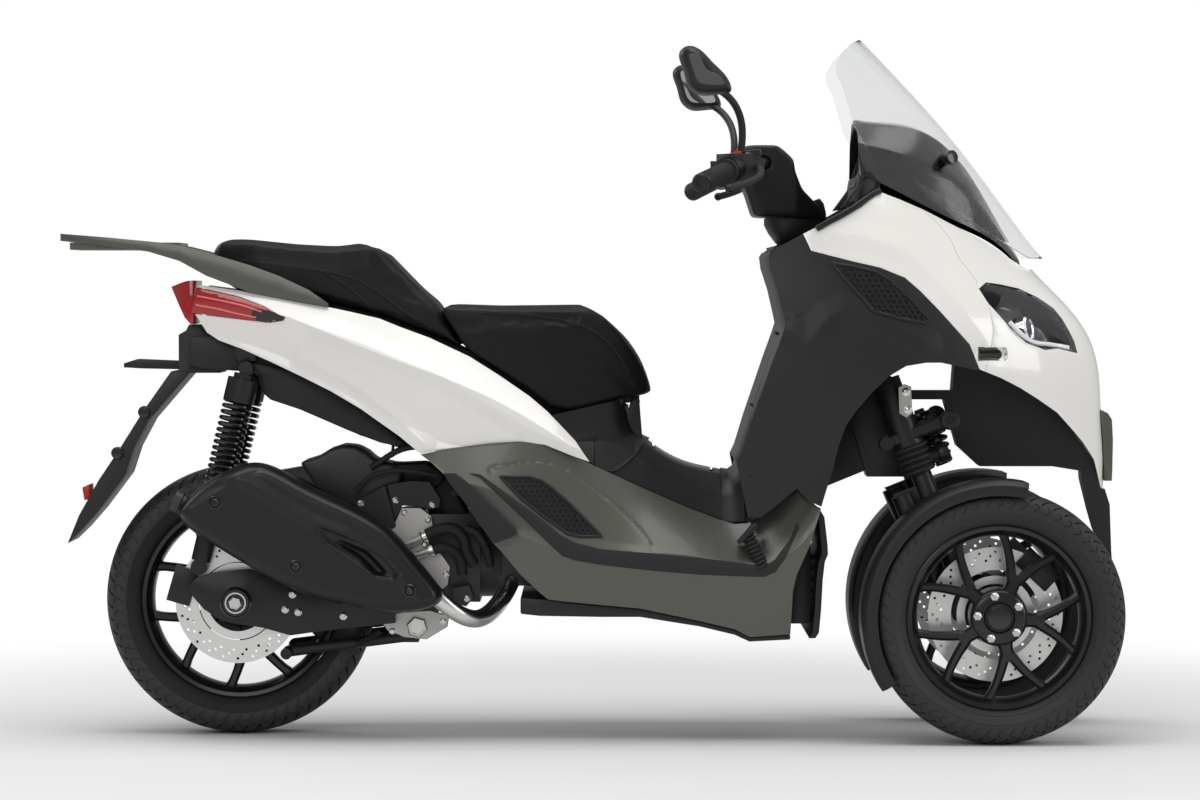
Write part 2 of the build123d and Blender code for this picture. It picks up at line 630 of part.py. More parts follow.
def shrink(points, d):
    out = []
    n = len(points)
    for i, (x, z) in enumerate(points):
        (xa, za), (xb, zb) = points[i - 1], points[(i + 1) % n]
        length = math.hypot(xb - xa, zb - za)
        out.append((x + d * (zb - za) / length, z - d * (xb - xa) / length))
    return out


def silencer():
    wires = []
    for y, d in ((-158, 18), (-170, 5), (-190, 0), (-222, 3), (-238, 10), (-246, 22)):
        ring = [(x, y, z) for x, z in shrink(SILENCER, d)]
        wires.append(Spline(*ring, periodic=True))
    body = skin_loft(wires)
    tip = rod((-740, -195, 440), (-790, -195, 462), 20)
    return body + tip


def exhaust_pipe():
    return tube([(-300, -194, 290), (-268, -190, 258), (-216, -150, 232), (-176, -100, 256), (-150, -60, 300)], 17)


BAR_PATH = [(282, -225, 1095), (330, -110, 1106), (352, 0, 1110), (330, 110, 1106), (282, 225, 1095)]


def handlebar():
    bar = tube(BAR_PATH, BAR_R)
    stem = rod((bar_axis_x(906.3), 0, 906.3), (bar_axis_x(1112), 0, 1112), STEM_R)
    return bar + stem


def grip():
    return tube([(212, -374, 1063), (240, -316, 1078), (265, -262, 1089)], 17)


def switch_block():
    body = Pos(278, -232, 1094) * Rot(0, 0, 26) * Box(58, 46, 52)
    lever = tube([(318, -222, 1098), (322, -290, 1078), (262, -378, 1052)], 7)
    boss = Pos(312, -222, 1098) * Rot(0, 0, 26) * Box(34, 30, 24)
    return body + boss + lever


def handlebar_cowl():
    outline = [(452, 1009), (441, 1029), (412, 1058), (398, 1093), (396, 1113), (388, 1122), (372, 1136),
               (363, 1142), (314, 1142), (289, 1138), (270, 1120), (288, 1085), (304, 1048), (318, 1004),
               (430, 1000)]
    plan = [(250, -78), (330, -96), (400, -84), (460, -48), (460, 48), (400, 84), (330, 96), (250, 78)]
    body = prism(outline, -110, 110) & plan_prism(plan, 980, 1160)
    body -= tube(BAR_PATH, BAR_R + PIN_GAP)
    return body - rod((bar_axis_x(905), 0, 905), (bar_axis_x(1114), 0, 1114), STEM_R + PIN_GAP)


MIRROR = [(174, 1312), (190, 1318), (205, 1313), (232, 1287), (262, 1253), (266, 1234), (240, 1227), (205, 1227),
          (187, 1241), (176, 1275)]


def mirror_unit():
    wires = []
    for y, d in ((-312, 12), (-322, 4), (-350, 0), (-386, 4), (-399, 13)):
        ring = [(x, y, z) for x, z in shrink(MIRROR, d)]
        wires.append(Spline(*ring, periodic=True))
    head = skin_loft(wires)
    stem = tube([(284, -236, 1108), (288, -262, 1180), (262, -310, 1225), (232, -338, 1242)], 7)
    return head + stem


SCREEN_LEVELS = [(915, 892, 730, 140), (1000, 822, 630, 182), (1070, 771, 572, 196), (1170, 692, 508, 193),
                 (1270, 602, 470, 185), (1362, 513, 425, 170)]
SCREEN_T = 4


def windscreen():
    wires = []
    for z, mid, edge, w in SCREEN_LEVELS:
        bend = edge + 0.74 * (mid - edge)
        outer = bow(z, mid, [(edge, w), (bend, 0.56 * w)])
        inner = bow(z, mid - 1.2 * SCREEN_T, [(edge, w - SCREEN_T), (bend - SCREEN_T, 0.56 * w - SCREEN_T)])
        wires.append(Wire([outer, Line(outer @ 1, inner @ 1), inner, Line(inner @ 0, outer @ 0)]))
    sheet = skin_loft(wires)
    outline = [(529, 1350), (505, 1336), (483, 1314), (471, 1291), (473, 1270), (483, 1251), (497, 1207),
               (506, 1169), (530, 1100), (562, 1066), (640, 1034), (745, 984), (815, 944), (850, 924), (1000, 920),
               (1000, 1350)]
    return sheet & prism(outline, -300, 300)


def screen_base():
    return arch_shell([(838, 920, 908, 14), (790, 1004, 952, 62), (740, 1086, 980, 105), (690, 1144, 1002, 132),
                       (600, 1186, 1046, 160), (516, 1196, 1082, 168)], SKIN_T)


def dash():
    shelf = [(352, 946), (430, 957), (500, 985), (516, 1081.3), (524, 1077.9), (508, 978), (434, 947), (354, 937)]
    body = prism(shelf, -186, 186)
    body -= rod((bar_axis_x(900), 0, 900), (bar_axis_x(1010), 0, 1010), STEM_R + 3 * MOVE_GAP)
    return body


def instrument_panel():
    return prism([(512, 1050), (530, 1050), (558, 1136), (542, 1142)], -112, 112)


def ring_profile(rows, y):
    # turned piece about the axle, rows of (radius, offset across)
    face = make_face(Polyline(*[(r, w) for r, w in rows], close=True))
    return Pos(0, y, 0) * Rot(-90, 0, 0) * revolve(Plane.XZ * face, Axis.Z)


def tyre(radius, rim, width):
    h = width / 2
    bead = rim + SEAT_GAP
    rows = [(bead, -0.62 * h), (bead + 14, -0.86 * h), (radius - 0.42 * h, -h), (radius - 0.20 * h, -0.86 * h),
            (radius - 0.05 * h, -0.5 * h), (radius, -0.15 * h), (radius, 0.15 * h), (radius - 0.05 * h, 0.5 * h),
            (radius - 0.20 * h, 0.86 * h), (radius - 0.42 * h, h), (bead + 14, 0.86 * h), (bead, 0.62 * h)]
    return ring_profile(rows, 0)


def rim(radius, width, hub_r, hub_y0, hub_y1, spoke_spread):
    h = 0.62 * width / 2
    rows = [(radius, -h), (radius, h), (radius - 12, h), (radius - 22, 0.6 * h), (radius - 22, -0.6 * h),
            (radius - 12, -h)]
    wheel = ring_profile(rows, 0)
    bore = AXLE_R + PIN_GAP
    wheel += ring_profile([(bore, hub_y0), (hub_r, hub_y0), (hub_r, hub_y1), (bore, hub_y1)], 0)
    for i in range(SPOKE_PAIRS):
        root = 67 + 360 / SPOKE_PAIRS * i
        for side in (-1, 1):
            a = math.radians(root + 6 * side)
            b = math.radians(root + spoke_spread * side)
            start = ((hub_r - 6) * math.cos(a), 0, (hub_r - 6) * math.sin(a))
            end = ((radius - 16) * math.cos(b), 0, (radius - 16) * math.sin(b))
            axis = Vector(*end) - Vector(*start)
            plane = Plane(origin=start, x_dir=(0, 1, 0), z_dir=axis)
            wheel += extrude(plane * Rectangle(0.9 * h, 22), amount=axis.length)
    return wheel


def disc(outer, inner, y):
    return ring_profile([(inner, -DISC_T / 2), (outer, -DISC_T / 2), (outer, DISC_T / 2), (inner, DISC_T / 2)], y)


def at_front(shape):
    return Pos(FRONT_AXLE_X, -FRONT_Y, FRONT_AXLE_Z) * shape


def at_rear(shape):
    return Pos(REAR_AXLE_X, 0, REAR_AXLE_Z) * shape


def front_leg():
    top = (kingpin_x(512 - SEAT_GAP), -KINGPIN_Y, 512 - SEAT_GAP)
    low = (kingpin_x(250), -KINGPIN_Y, 250)
    leg = rod(top, low, LEG_R)
    foot = prism([(690, 262), (730, 290), (800, 262), (806, 236), (790, 216), (740, 214), (700, 230)],
                 -KINGPIN_Y - 12, -KINGPIN_Y + 12)
    axle = cross_pin(FRONT_AXLE_X, FRONT_AXLE_Z, -FRONT_Y - 30, -KINGPIN_Y, AXLE_R)
    shock = rod((kingpin_x(470) - 52, -KINGPIN_Y + 4, 470), (kingpin_x(290) - 46, -KINGPIN_Y + 4, 290), 21)
    links = prism([(585, 470), (660, 500), (676, 470), (620, 440)], -KINGPIN_Y - 8, -KINGPIN_Y + 8)
    links += prism([(640, 300), (720, 300), (740, 250), (690, 240)], -KINGPIN_Y - 8, -KINGPIN_Y + 8)
    bracket = prism([(786, 262), (806, 240), (884, 304), (852, 334)], -158, -132)
    return leg + foot + axle + shock + links + bracket


GUARD_R = 258
GUARD_T = 4
GUARD_HALF = 64.5
GUARD_LIP = 26
GUARD_FROM = 78
GUARD_TO = 212


def mudguard():
    r0, r1, w = GUARD_R, GUARD_R + GUARD_T, GUARD_HALF
    inner = [(r0 - GUARD_LIP, w - GUARD_T), (r1 - 12, w - GUARD_T), (r0, w - 17)]
    outer = [(r1, w - 14), (r1 - 10, w), (r0 - GUARD_LIP, w)]
    rows = [(r, -y) for r, y in reversed(outer)] + outer + inner + [(r, -y) for r, y in reversed(inner)]
    reach = 1.6 * GUARD_R
    wedge = [(0, 0)]
    for i in range(5):
        a = math.radians(GUARD_FROM + (GUARD_TO - GUARD_FROM) * i / 4)
        wedge.append((reach * math.cos(a), reach * math.sin(a)))
    return at_front(ring_profile(rows, 0) & prism(wedge, -2 * w, 2 * w))


def front_caliper():
    a = math.radians(47)
    x, z = FRONT_AXLE_X + 118 * math.cos(a), FRONT_AXLE_Z + 118 * math.sin(a)
    y = -FRONT_Y + FRONT_DISC_Y
    body = Box(44, 26, 78) - Pos(-14, 0, 0) * Box(60, DISC_T + 5, 90)
    return Pos(x, y, z) * Rot(0, -47, 0) * body


def centre_stand():
    px, pz = STAND_PIVOT
    foot_x = px - STAND_LEG
    foot_z = pz - 30
    leg = rod((px, -STAND_HALF, pz), (foot_x, -STAND_HALF, foot_z), STAND_TUBE_R)
    leg += rod((foot_x, -STAND_HALF, foot_z), (foot_x - 4, -STAND_HALF - 22, foot_z - 4), STAND_TUBE_R)
    legs = both(leg)
    legs += cross_pin(px, pz, -STAND_HALF - 6, STAND_HALF + 6, 10)
    brace_x = px - 0.2 * STAND_LEG
    brace_z = pz - 0.2 * 30
    legs += cross_pin(brace_x, brace_z, -STAND_HALF, STAND_HALF, 9)
    return legs


def indicator(grow=0):
    # bullet lamp through the skin under the headlamp
    return rod((738, -228, 741), (792, -214, 741), 13 + grow)


def save(name, shape):
    shape.label = name
    export_step(shape, "parts/" + name + ".step")


def main():
    os.makedirs("parts", exist_ok=True)
    skin, nose, sides, lenses, shields = front_skins()
    save("nose_cone", nose)
    save("fairing_right", half(sides, -1))
    save("fairing_left", half(sides, 1))
    save("front_lamps", Part() + [lenses, both(indicator())])
    save("shield_right", half(shields, -1))
    save("shield_left", half(shields, 1))
    band, lid, tub = leg_shield(skin)
    save("leg_shield", band)
    save("glovebox_tub", tub)
    save("glovebox_lid", lid)
    skirt = side_skirt()
    save("skirt_right", skirt)
    save("skirt_left", mirror_y(skirt))
    save("floor_mats", both(floor_mat()))
    save("passenger_footrests", both(passenger_footrest()))
    save("belly_pan", belly_pan())
    save("lower_shield", lower_shield())
    save("radiator", radiator())
    panel = tail_panel()
    save("tail_panel_right", panel)
    save("tail_panel_left", mirror_y(panel))
    save("tail_lamp", tail_lamp())
    save("under_tail", under_tail())
    save("plate_holder", plate_holder())
    save("rear_rack", rear_rack())
    save("rider_cushion", rider_cushion())
    save("passenger_cushion", passenger_cushion())
    save("seat_base", seat_base())
    save("helmet_box", helmet_box())
    tunnel, flap = centre_tunnel()
    save("centre_tunnel", tunnel)
    save("seat_shoulders", seat_shoulders())
    save("fuel_tank", fuel_tank(flap))
    save("fuel_flap", flap)
    save("nose_keel", Part() + [beak() + arch_liner(), nose_fin(skin)])
    save("tilt_arms", tilt_arms())
    save("side_tubes", both(side_tube()))
    save("front_frame", front_frame())
    frame, block, can = main_frame(), engine(), silencer()
    save("main_frame", frame)
    save("engine", block - frame)
    save("drive_case", transmission_case() + air_box())
    save("swing_arm", Part() + [swing_arm() - can, rear_caliper()])
    save("rear_shocks", both(rear_shock()))
    save("silencer", can)
    save("exhaust_pipe", nearest(exhaust_pipe() - can - block, (-212, -150, 236)))
    switches = both(grip() + switch_block())
    save("handlebar", nearest(handlebar() - switches, (360, 0, 1090)))
    save("handlebar_cowl", handlebar_cowl())
    save("controls", switches)
    save("mirrors", both(nearest(mirror_unit() - switch_block(), (220, -350, 1260))))
    screen, base = windscreen(), screen_base()
    save("windscreen", screen)
    clamp = rod((660, -80, 1106), (698, -131, 1118), 13) - screen - base
    knob = nearest(clamp, (678, -105, 1112)) + nearest(clamp, (692, -122, 1116))
    save("screen_base", Part() + [base, knob, mirror_y(knob)])
    save("dash", dash() + instrument_panel())
    save("centre_stand", centre_stand())
    leg = front_leg() + front_caliper()
    wheel = rim(FRONT_RIM_R, FRONT_TYRE_W, FRONT_HUB_R, -40, FRONT_DISC_Y + 3, 21)
    front_rim = at_front(Part() + [wheel, disc(FRONT_DISC_R, FRONT_HUB_R + SEAT_GAP, FRONT_DISC_Y)])
    front_tyre = at_front(tyre(FRONT_TYRE_R, FRONT_RIM_R, FRONT_TYRE_W))
    for name, shape in (("front_leg", leg), ("mudguard", mudguard()), ("front_rim", front_rim),
                        ("front_tyre", front_tyre)):
        save(name + "_right", shape)
        save(name + "_left", mirror_y(shape))
    wheel = rim(REAR_RIM_R, REAR_TYRE_W, REAR_HUB_R, REAR_DISC_Y - 3, 70, 20)
    save("rear_rim", at_rear(Part() + [wheel, disc(REAR_DISC_R, REAR_HUB_R + SEAT_GAP, REAR_DISC_Y)]))
    save("rear_tyre", at_rear(tyre(REAR_TYRE_R, REAR_RIM_R, REAR_TYRE_W)))


main()
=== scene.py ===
import json
import math
import bmesh
import bpy
from mathutils import Matrix, Vector
from mathutils.bvhtree import BVHTree

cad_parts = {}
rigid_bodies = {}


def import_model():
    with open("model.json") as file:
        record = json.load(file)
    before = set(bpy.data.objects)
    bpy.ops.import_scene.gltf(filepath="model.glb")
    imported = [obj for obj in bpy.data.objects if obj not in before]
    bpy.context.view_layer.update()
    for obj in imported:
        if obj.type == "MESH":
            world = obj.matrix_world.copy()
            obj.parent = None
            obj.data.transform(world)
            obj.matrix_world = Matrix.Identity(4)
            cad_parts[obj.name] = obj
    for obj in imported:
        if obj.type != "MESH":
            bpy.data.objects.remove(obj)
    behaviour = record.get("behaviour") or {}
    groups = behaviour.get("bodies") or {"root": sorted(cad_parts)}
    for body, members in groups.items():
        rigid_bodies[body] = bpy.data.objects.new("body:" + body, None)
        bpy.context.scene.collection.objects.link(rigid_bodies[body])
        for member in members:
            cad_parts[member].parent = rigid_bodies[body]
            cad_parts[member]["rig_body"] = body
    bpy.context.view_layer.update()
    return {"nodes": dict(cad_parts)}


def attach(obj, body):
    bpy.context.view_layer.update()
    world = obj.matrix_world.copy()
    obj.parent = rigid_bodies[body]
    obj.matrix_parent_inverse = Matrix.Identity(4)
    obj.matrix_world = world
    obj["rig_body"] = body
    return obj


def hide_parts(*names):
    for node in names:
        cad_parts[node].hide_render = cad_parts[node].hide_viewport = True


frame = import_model()
nodes = frame["nodes"]
mm = 0.001


# shader groups shared by several materials
def newGroup(name, inputs, outputs):
    group = bpy.data.node_groups.new(name, "ShaderNodeTree")
    for label, kind, value in inputs:
        made = group.interface.new_socket(label, in_out="INPUT", socket_type=kind)
        if value is not None:
            made.default_value = value
    for label, kind in outputs:
        group.interface.new_socket(label, in_out="OUTPUT", socket_type=kind)
    start = group.nodes.new("NodeGroupInput")
    end = group.nodes.new("NodeGroupOutput")
    return group, start, end


def grainGroup():
    group, start, end = newGroup("moldedGrain", [("Scale", "NodeSocketFloat", 900.0),
                                                 ("Strength", "NodeSocketFloat", 0.15)],
                                 [("Normal", "NodeSocketVector")])
    place = group.nodes.new("ShaderNodeTexCoord")
    noise = group.nodes.new("ShaderNodeTexNoise")
    noise.inputs["Detail"].default_value = 2.0
    bump = group.nodes.new("ShaderNodeBump")
    bump.inputs["Distance"].default_value = 0.0004
    group.links.new(place.outputs["Object"], noise.inputs["Vector"])
    group.links.new(start.outputs["Scale"], noise.inputs["Scale"])
    group.links.new(start.outputs["Strength"], bump.inputs["Strength"])
    group.links.new(noise.outputs["Fac"], bump.inputs["Height"])
    group.links.new(bump.outputs["Normal"], end.inputs["Normal"])
    return group


def hideGroup():
    group, start, end = newGroup("coverGrain", [("Scale", "NodeSocketFloat", 420.0),
                                                ("Strength", "NodeSocketFloat", 0.35)],
                                 [("Normal", "NodeSocketVector")])
    place = group.nodes.new("ShaderNodeTexCoord")
    cells = group.nodes.new("ShaderNodeTexVoronoi")
    cells.feature = "DISTANCE_TO_EDGE"
    bump = group.nodes.new("ShaderNodeBump")
    bump.inputs["Distance"].default_value = 0.0005
    group.links.new(place.outputs["Object"], cells.inputs["Vector"])
    group.links.new(start.outputs["Scale"], cells.inputs["Scale"])
    group.links.new(start.outputs["Strength"], bump.inputs["Strength"])
    group.links.new(cells.outputs["Distance"], bump.inputs["Height"])
    group.links.new(bump.outputs["Normal"], end.inputs["Normal"])
    return group


grain = grainGroup()
hide = hideGroup()


# one Principled finish, with a bump from a shared group where it has a grain
def finish(name, base, rough, metal=0.0, group=None, scale=0.0, strength=0.0, **more):
    material = bpy.data.materials.new(name)
    material.use_nodes = True
    shader = material.node_tree.nodes["Principled BSDF"]
    shader.inputs["Base Color"].default_value = (*base, 1.0)
    shader.inputs["Roughness"].default_value = rough
    shader.inputs["Metallic"].default_value = metal
    for label, value in more.items():
        shader.inputs[label.replace("_", " ")].default_value = value
    if group:
        bumps = material.node_tree.nodes.new("ShaderNodeGroup")
        bumps.node_tree = group
        bumps.inputs["Scale"].default_value = scale
        bumps.inputs["Strength"].default_value = strength
        material.node_tree.links.new(bumps.outputs["Normal"], shader.inputs["Normal"])
    return material


skins = {
    "white": finish("paintWhite", (0.87, 0.855, 0.815), 0.22, Coat_Weight=0.8, Coat_Roughness=0.05),
    "grey": finish("paintGrey", (0.098, 0.100, 0.084), 0.34, 0.25, Coat_Weight=0.25, Coat_Roughness=0.2),
    "black": finish("moldedBlack", (0.0085, 0.0085, 0.009), 0.46, 0.0, grain, 900.0, 0.12,
                    Specular_IOR_Level=0.45),
    "gloss": finish("glossBlack", (0.008, 0.008, 0.009), 0.22, Coat_Weight=0.4, Coat_Roughness=0.1),
    "rubber": finish("softRubber", (0.012, 0.012, 0.012), 0.7, 0.0, grain, 500.0, 0.2),
    "tyre": finish("tyreRubber", (0.020, 0.020, 0.021), 0.62, 0.0, grain, 260.0, 0.16),
    "seat": finish("seatCover", (0.0045, 0.0045, 0.0048), 0.5, 0.0, hide, 420.0, 0.3,
                   Specular_IOR_Level=0.26),
    "rim": finish("rimBlack", (0.010, 0.010, 0.011), 0.3, 0.35, Coat_Weight=0.3, Coat_Roughness=0.15),
    "frame": finish("frameBlack", (0.014, 0.014, 0.015), 0.38, 0.3),
    "cast": finish("castMetal", (0.50, 0.49, 0.47), 0.42, 0.9, grain, 380.0, 0.22),
    "dark": finish("darkCast", (0.045, 0.045, 0.047), 0.45, 0.5, grain, 380.0, 0.2),
    "steel": finish("brightSteel", (0.72, 0.71, 0.69), 0.24, 1.0),
    "disc": finish("discSteel", (0.80, 0.79, 0.77), 0.3, 1.0),
    "screen": finish("screenClear", (0.87, 0.873, 0.878), 0.02, Transmission_Weight=1.0, IOR=1.12),
    "lens": finish("lampClear", (0.95, 0.96, 0.97), 0.02, Transmission_Weight=1.0, IOR=1.15),
    "red": finish("lampRed", (0.55, 0.006, 0.012), 0.1, Transmission_Weight=0.35, Coat_Weight=0.6),
    "redPart": finish("redPlastic", (0.55, 0.02, 0.02), 0.35),
    "mirror": finish("mirrorGlass", (0.9, 0.9, 0.9), 0.02, 1.0),
    "glass": finish("panelGlass", (0.01, 0.011, 0.013), 0.08, Coat_Weight=0.5),
    "chrome": finish("lampChrome", (0.85, 0.85, 0.86), 0.08, 1.0),
    "glow": finish("lightStrip", (0.85, 0.86, 0.88), 0.3),
    "glowRed": finish("redStrip", (0.85, 0.25, 0.24), 0.25),
    "satin": finish("satinBlack", (0.007, 0.007, 0.0075), 0.38, 0.0, grain, 700.0, 0.05,
                    Specular_IOR_Level=0.4),
    "slate": finish("slatePanel", (0.07, 0.07, 0.072), 0.5, 0.0, grain, 700.0, 0.05),
    "thread": finish("seatThread", (0.035, 0.035, 0.036), 0.6),
    # painted shade: a black darker than any finish here, for the dark of the vent hollows and the shaded
    # depth of the engine bay
    "deep": finish("deepBlack", (0.004, 0.004, 0.004), 0.6),
}


def placed(name, data):
    piece = bpy.data.objects.new(name, data)
    bpy.context.scene.collection.objects.link(piece)
    return piece


def shaded(bm, angle):
    # smooth faces, with edges past the angle left sharp
    bm.normal_update()
    limit = math.radians(angle)
    for face in bm.faces:
        face.smooth = True
    for edge in bm.edges:
        edge.smooth = len(edge.link_faces) == 2 and edge.calc_face_angle(0.0) < limit


def meshOf(name, bm):
    mesh = bpy.data.meshes.new(name)
    bm.to_mesh(mesh)
    bm.free()
    return mesh


def build(name, bm, skin, body, angle=35.0, node=()):
    shaded(bm, angle)
    piece = placed(name, meshOf(name, bm))
    piece.data.materials.append(skins[skin])
    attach(piece, body)
    if node:
        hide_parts(*node)
    return piece


def applied(piece):
    # the object's modifiers made into its plain mesh
    graph = bpy.context.evaluated_depsgraph_get()
    piece.data = bpy.data.meshes.new_from_object(piece.evaluated_get(graph))
    piece.modifiers.clear()
    return piece.data


def carved(piece, bm):
    # what the cutter covers is taken out of the piece
    cutter = placed(piece.name + "Cutter", meshOf(piece.name + "Cutter", bm))
    cut = piece.modifiers.new("cut", "BOOLEAN")
    cut.operation = "DIFFERENCE"
    cut.solver = "EXACT"
    cut.object = cutter
    applied(piece)
    bpy.data.objects.remove(cutter)
    return piece


def voxels(piece, size):
    fine = piece.modifiers.new("voxels", "REMESH")
    fine.mode = "VOXEL"
    fine.voxel_size = size * mm
    return fine


def dressed(mesh, skin):
    for face in mesh.polygons:
        face.use_smooth = True
    mesh.materials.clear()
    mesh.materials.append(skins[skin])


def evened(bm, rounds):
    for _ in range(rounds):
        bmesh.ops.smooth_vert(bm, verts=bm.verts, factor=0.5, use_axis_x=True, use_axis_y=True,
                              use_axis_z=True)


def merged(node):
    bm = bmesh.new()
    bm.from_mesh(nodes[node].data)
    bmesh.ops.remove_doubles(bm, verts=bm.verts, dist=0.00002)
    bmesh.ops.dissolve_degenerate(bm, edges=bm.edges, dist=0.00001)
    return bm


def rounded(bm, width, angle=32.0, steps=2):
    # sharp edges get a small radius
    bm.normal_update()
    limit = math.radians(angle)
    flat = math.radians(0.4)
    bmesh.ops.dissolve_limit(bm, angle_limit=flat, verts=bm.verts, edges=bm.edges)
    sharp = [e for e in bm.edges if len(e.link_faces) == 2 and e.calc_face_angle(0.0) > limit]
    bmesh.ops.bevel(bm, geom=sharp, offset=width * mm, offset_type="OFFSET", segments=steps, profile=0.5,
                    affect="EDGES", clamp_overlap=True)
    bmesh.ops.triangulate(bm, faces=[f for f in bm.faces if len(f.verts) > 4])
    return bm


# pressed lines and hollows of the outer skins, as (x, z) in mm in the side view
def inside(points, x, z):
    odd = False
    for (xa, za), (xb, zb) in zip(points, points[1:] + points[:1]):
        if (za > z) != (zb > z) and x < xa + (z - za) * (xb - xa) / (zb - za):
            odd = not odd
    return odd


def lineGap(points, x, z):
    best = 1e9
    p = Vector((x, z))
    for a, b in zip(points, points[1:]):
        a, b = Vector(a), Vector(b)
        t = max(0.0, min(1.0, (p - a).dot(b - a) / (b - a).length_squared))
        best = min(best, (p - a - (b - a) * t).length)
    return best


def edgeGap(points, x, z):
    return lineGap(points + points[:1], x, z)


def denser(bm, limit, rounds=6):
    for _ in range(rounds):
        long = [e for e in bm.edges if e.calc_length() > limit * mm]
        if not long:
            break
        bmesh.ops.subdivide_edges(bm, edges=long, cuts=1)
        bmesh.ops.triangulate(bm, faces=[f for f in bm.faces if len(f.verts) > 3])
    return bm


def eased(t):
    return t * t * (3 - 2 * t)


def pressedIn(points, x, z, depth, soft):
    # depth of a hollow at a place, eased in from its edge
    if not inside(points, x, z):
        return 0.0
    return depth * eased(min(1.0, edgeGap(points, x, z) / soft))


def relieved(bm, marks):
    # each mark pushes the skin sideways, in or out, by up to its depth
    moves = {}
    for v in bm.verts:
        x, z = v.co.x / mm, v.co.z / mm
        move = 0.0
        for kind, points, depth, soft in marks:
            gap = lineGap(points, x, z)
            if gap < soft:
                t = 1 - gap / soft
                move += depth * t if kind == "ridge" else -depth * eased(t)
        if move:
            moves[v] = move if v.co.y >= 0 else -move
    for v, move in moves.items():
        v.co.y += move * mm
    return bm


reliefs = {
    "tail_panel": [
        ("ridge", [(-512, 789), (-417, 755), (-360, 730), (-274, 697), (-203, 653), (-118, 602), (-26, 562)],
         5.0, 26.0),
        ("ridge", [(-550, 730), (-512, 713), (-442, 678), (-369, 621), (-312, 573)], 4.0, 22.0),
    ],
    "skirt": [
        ("groove", [(-189, 514), (-183, 526), (-130, 533), (-100, 537), (-70, 531), (-35, 518), (3, 490),
                    (59, 446), (97, 408), (116, 385), (124, 361)], 2.2, 3.6),
        ("ridge", [(-225, 351), (-130, 380), (22, 359), (211, 329), (344, 332), (429, 427)], 4.0, 30.0),
    ],
    "fairing": [("ridge", [(425, 974), (517, 966), (602, 939), (688, 863), (755, 768)], 3.5, 30.0)],
    "shield": [
        ("ridge", [(382, 787), (412, 759), (454, 814), (480, 825), (514, 814), (590, 787), (637, 759)],
         4.5, 34.0),
        ("groove", [(366, 803), (385, 808), (402, 812)], 2.0, 3.5),
        ("groove", [(304, 513), (334, 494), (366, 473)], 2.0, 3.5),
    ],
}
reliefGrid = 6.5


# how each solid of the frame looks: skin, slot, edge radius in mm
looks = {
    "nose_cone": ("white", "body_white", 1.2),
    "fairing_right": ("white", "body_white", 1.2),
    "fairing_left": ("white", "body_white", 1.2),
    "shield_right": ("black", "black_plastic", 1.2),
    "shield_left": ("black", "black_plastic", 1.2),
    "leg_shield": ("black", "black_plastic", 3.0),
    "glovebox_tub": ("black", "black_plastic", 0.8),
    "glovebox_lid": ("black", "black_plastic", 2.0),
    "skirt_right": ("grey", "body_grey", 1.5),
    "skirt_left": ("grey", "body_grey", 1.5),
    "floor_mats": ("rubber", "black_plastic", 1.5),
    "passenger_footrests": ("rubber", "black_plastic", 1.5),
    "belly_pan": ("black", "black_plastic", 3.0),
    "lower_shield": ("black", "black_plastic", 2.0),
    "radiator": ("dark", "cast_metal", 0.5),
    "tail_panel_right": ("white", "body_white", 1.2),
    "tail_panel_left": ("white", "body_white", 1.2),
    "tail_lamp": ("red", "lamp_red", 1.0),
    "under_tail": ("black", "black_plastic", 2.0),
    "plate_holder": ("black", "black_plastic", 1.5),
    "rear_rack": ("grey", "body_grey", 2.0),
    "seat_base": ("black", "black_plastic", 0.6),
    "helmet_box": ("black", "black_plastic", 2.0),
    "centre_tunnel": ("black", "black_plastic", 2.0),
    "seat_shoulders": ("black", "black_plastic", 1.0),
    "fuel_tank": ("black", "black_plastic", 3.0),
    "fuel_flap": ("gloss", "black_plastic", 1.0),
    "tilt_arms": ("frame", "frame_steel", 2.0),
    "side_tubes": ("frame", "frame_steel", 1.5),
    "front_frame": ("frame", "frame_steel", 3.0),
    "main_frame": ("frame", "frame_steel", 1.0),
    "engine": ("dark", "cast_metal", 4.0),
    "drive_case": ("dark", "cast_metal", 5.0),
    "swing_arm": ("frame", "frame_steel", 3.0),
    "exhaust_pipe": ("steel", "cast_metal", 0.5),
    "handlebar": ("frame", "frame_steel", 0.5),
    "controls": ("rubber", "black_plastic", 2.5),
    "mirrors": ("black", "black_plastic", 2.0),
    "windscreen": ("screen", "screen_clear", 0.6),
    "screen_base": ("gloss", "black_plastic", 0.8),
    "dash": ("black", "black_plastic", 2.0),
    "centre_stand": ("frame", "frame_steel", 1.0),
    "front_lamps": ("lens", "lamp_clear", 0.8),
    "front_leg_right": ("frame", "frame_steel", 2.0),
    "front_leg_left": ("frame", "frame_steel", 2.0),
    "mudguard_right": ("black", "black_plastic", 4.0),
    "mudguard_left": ("black", "black_plastic", 4.0),
}


def camel(name):
    head, *rest = name.split("_")
    return head + "".join(word.title() for word in rest)


made = {}
for node, (skin, slot, edge) in looks.items():
    bm = rounded(merged(node), edge)
    relief = reliefs.get(node.rsplit("_", 1)[0])
    if relief:
        bm = relieved(denser(bm, reliefGrid), relief)
    made[node] = build(camel(node), bm, skin, nodes[node]["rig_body"], node=(node,))
print("panels", len(made))


# mesh makers, all in millimetres in the shared frame
def point(bm, p):
    return bm.verts.new((p[0] * mm, p[1] * mm, p[2] * mm))


def bandsInto(bm, rings):
    # faces between neighbouring rings of as many points
    for one, two in zip(rings, rings[1:]):
        for i in range(len(one)):
            k = (i + 1) % len(one)
            bm.faces.new((one[i], one[k], two[k], two[i]))
    return bm


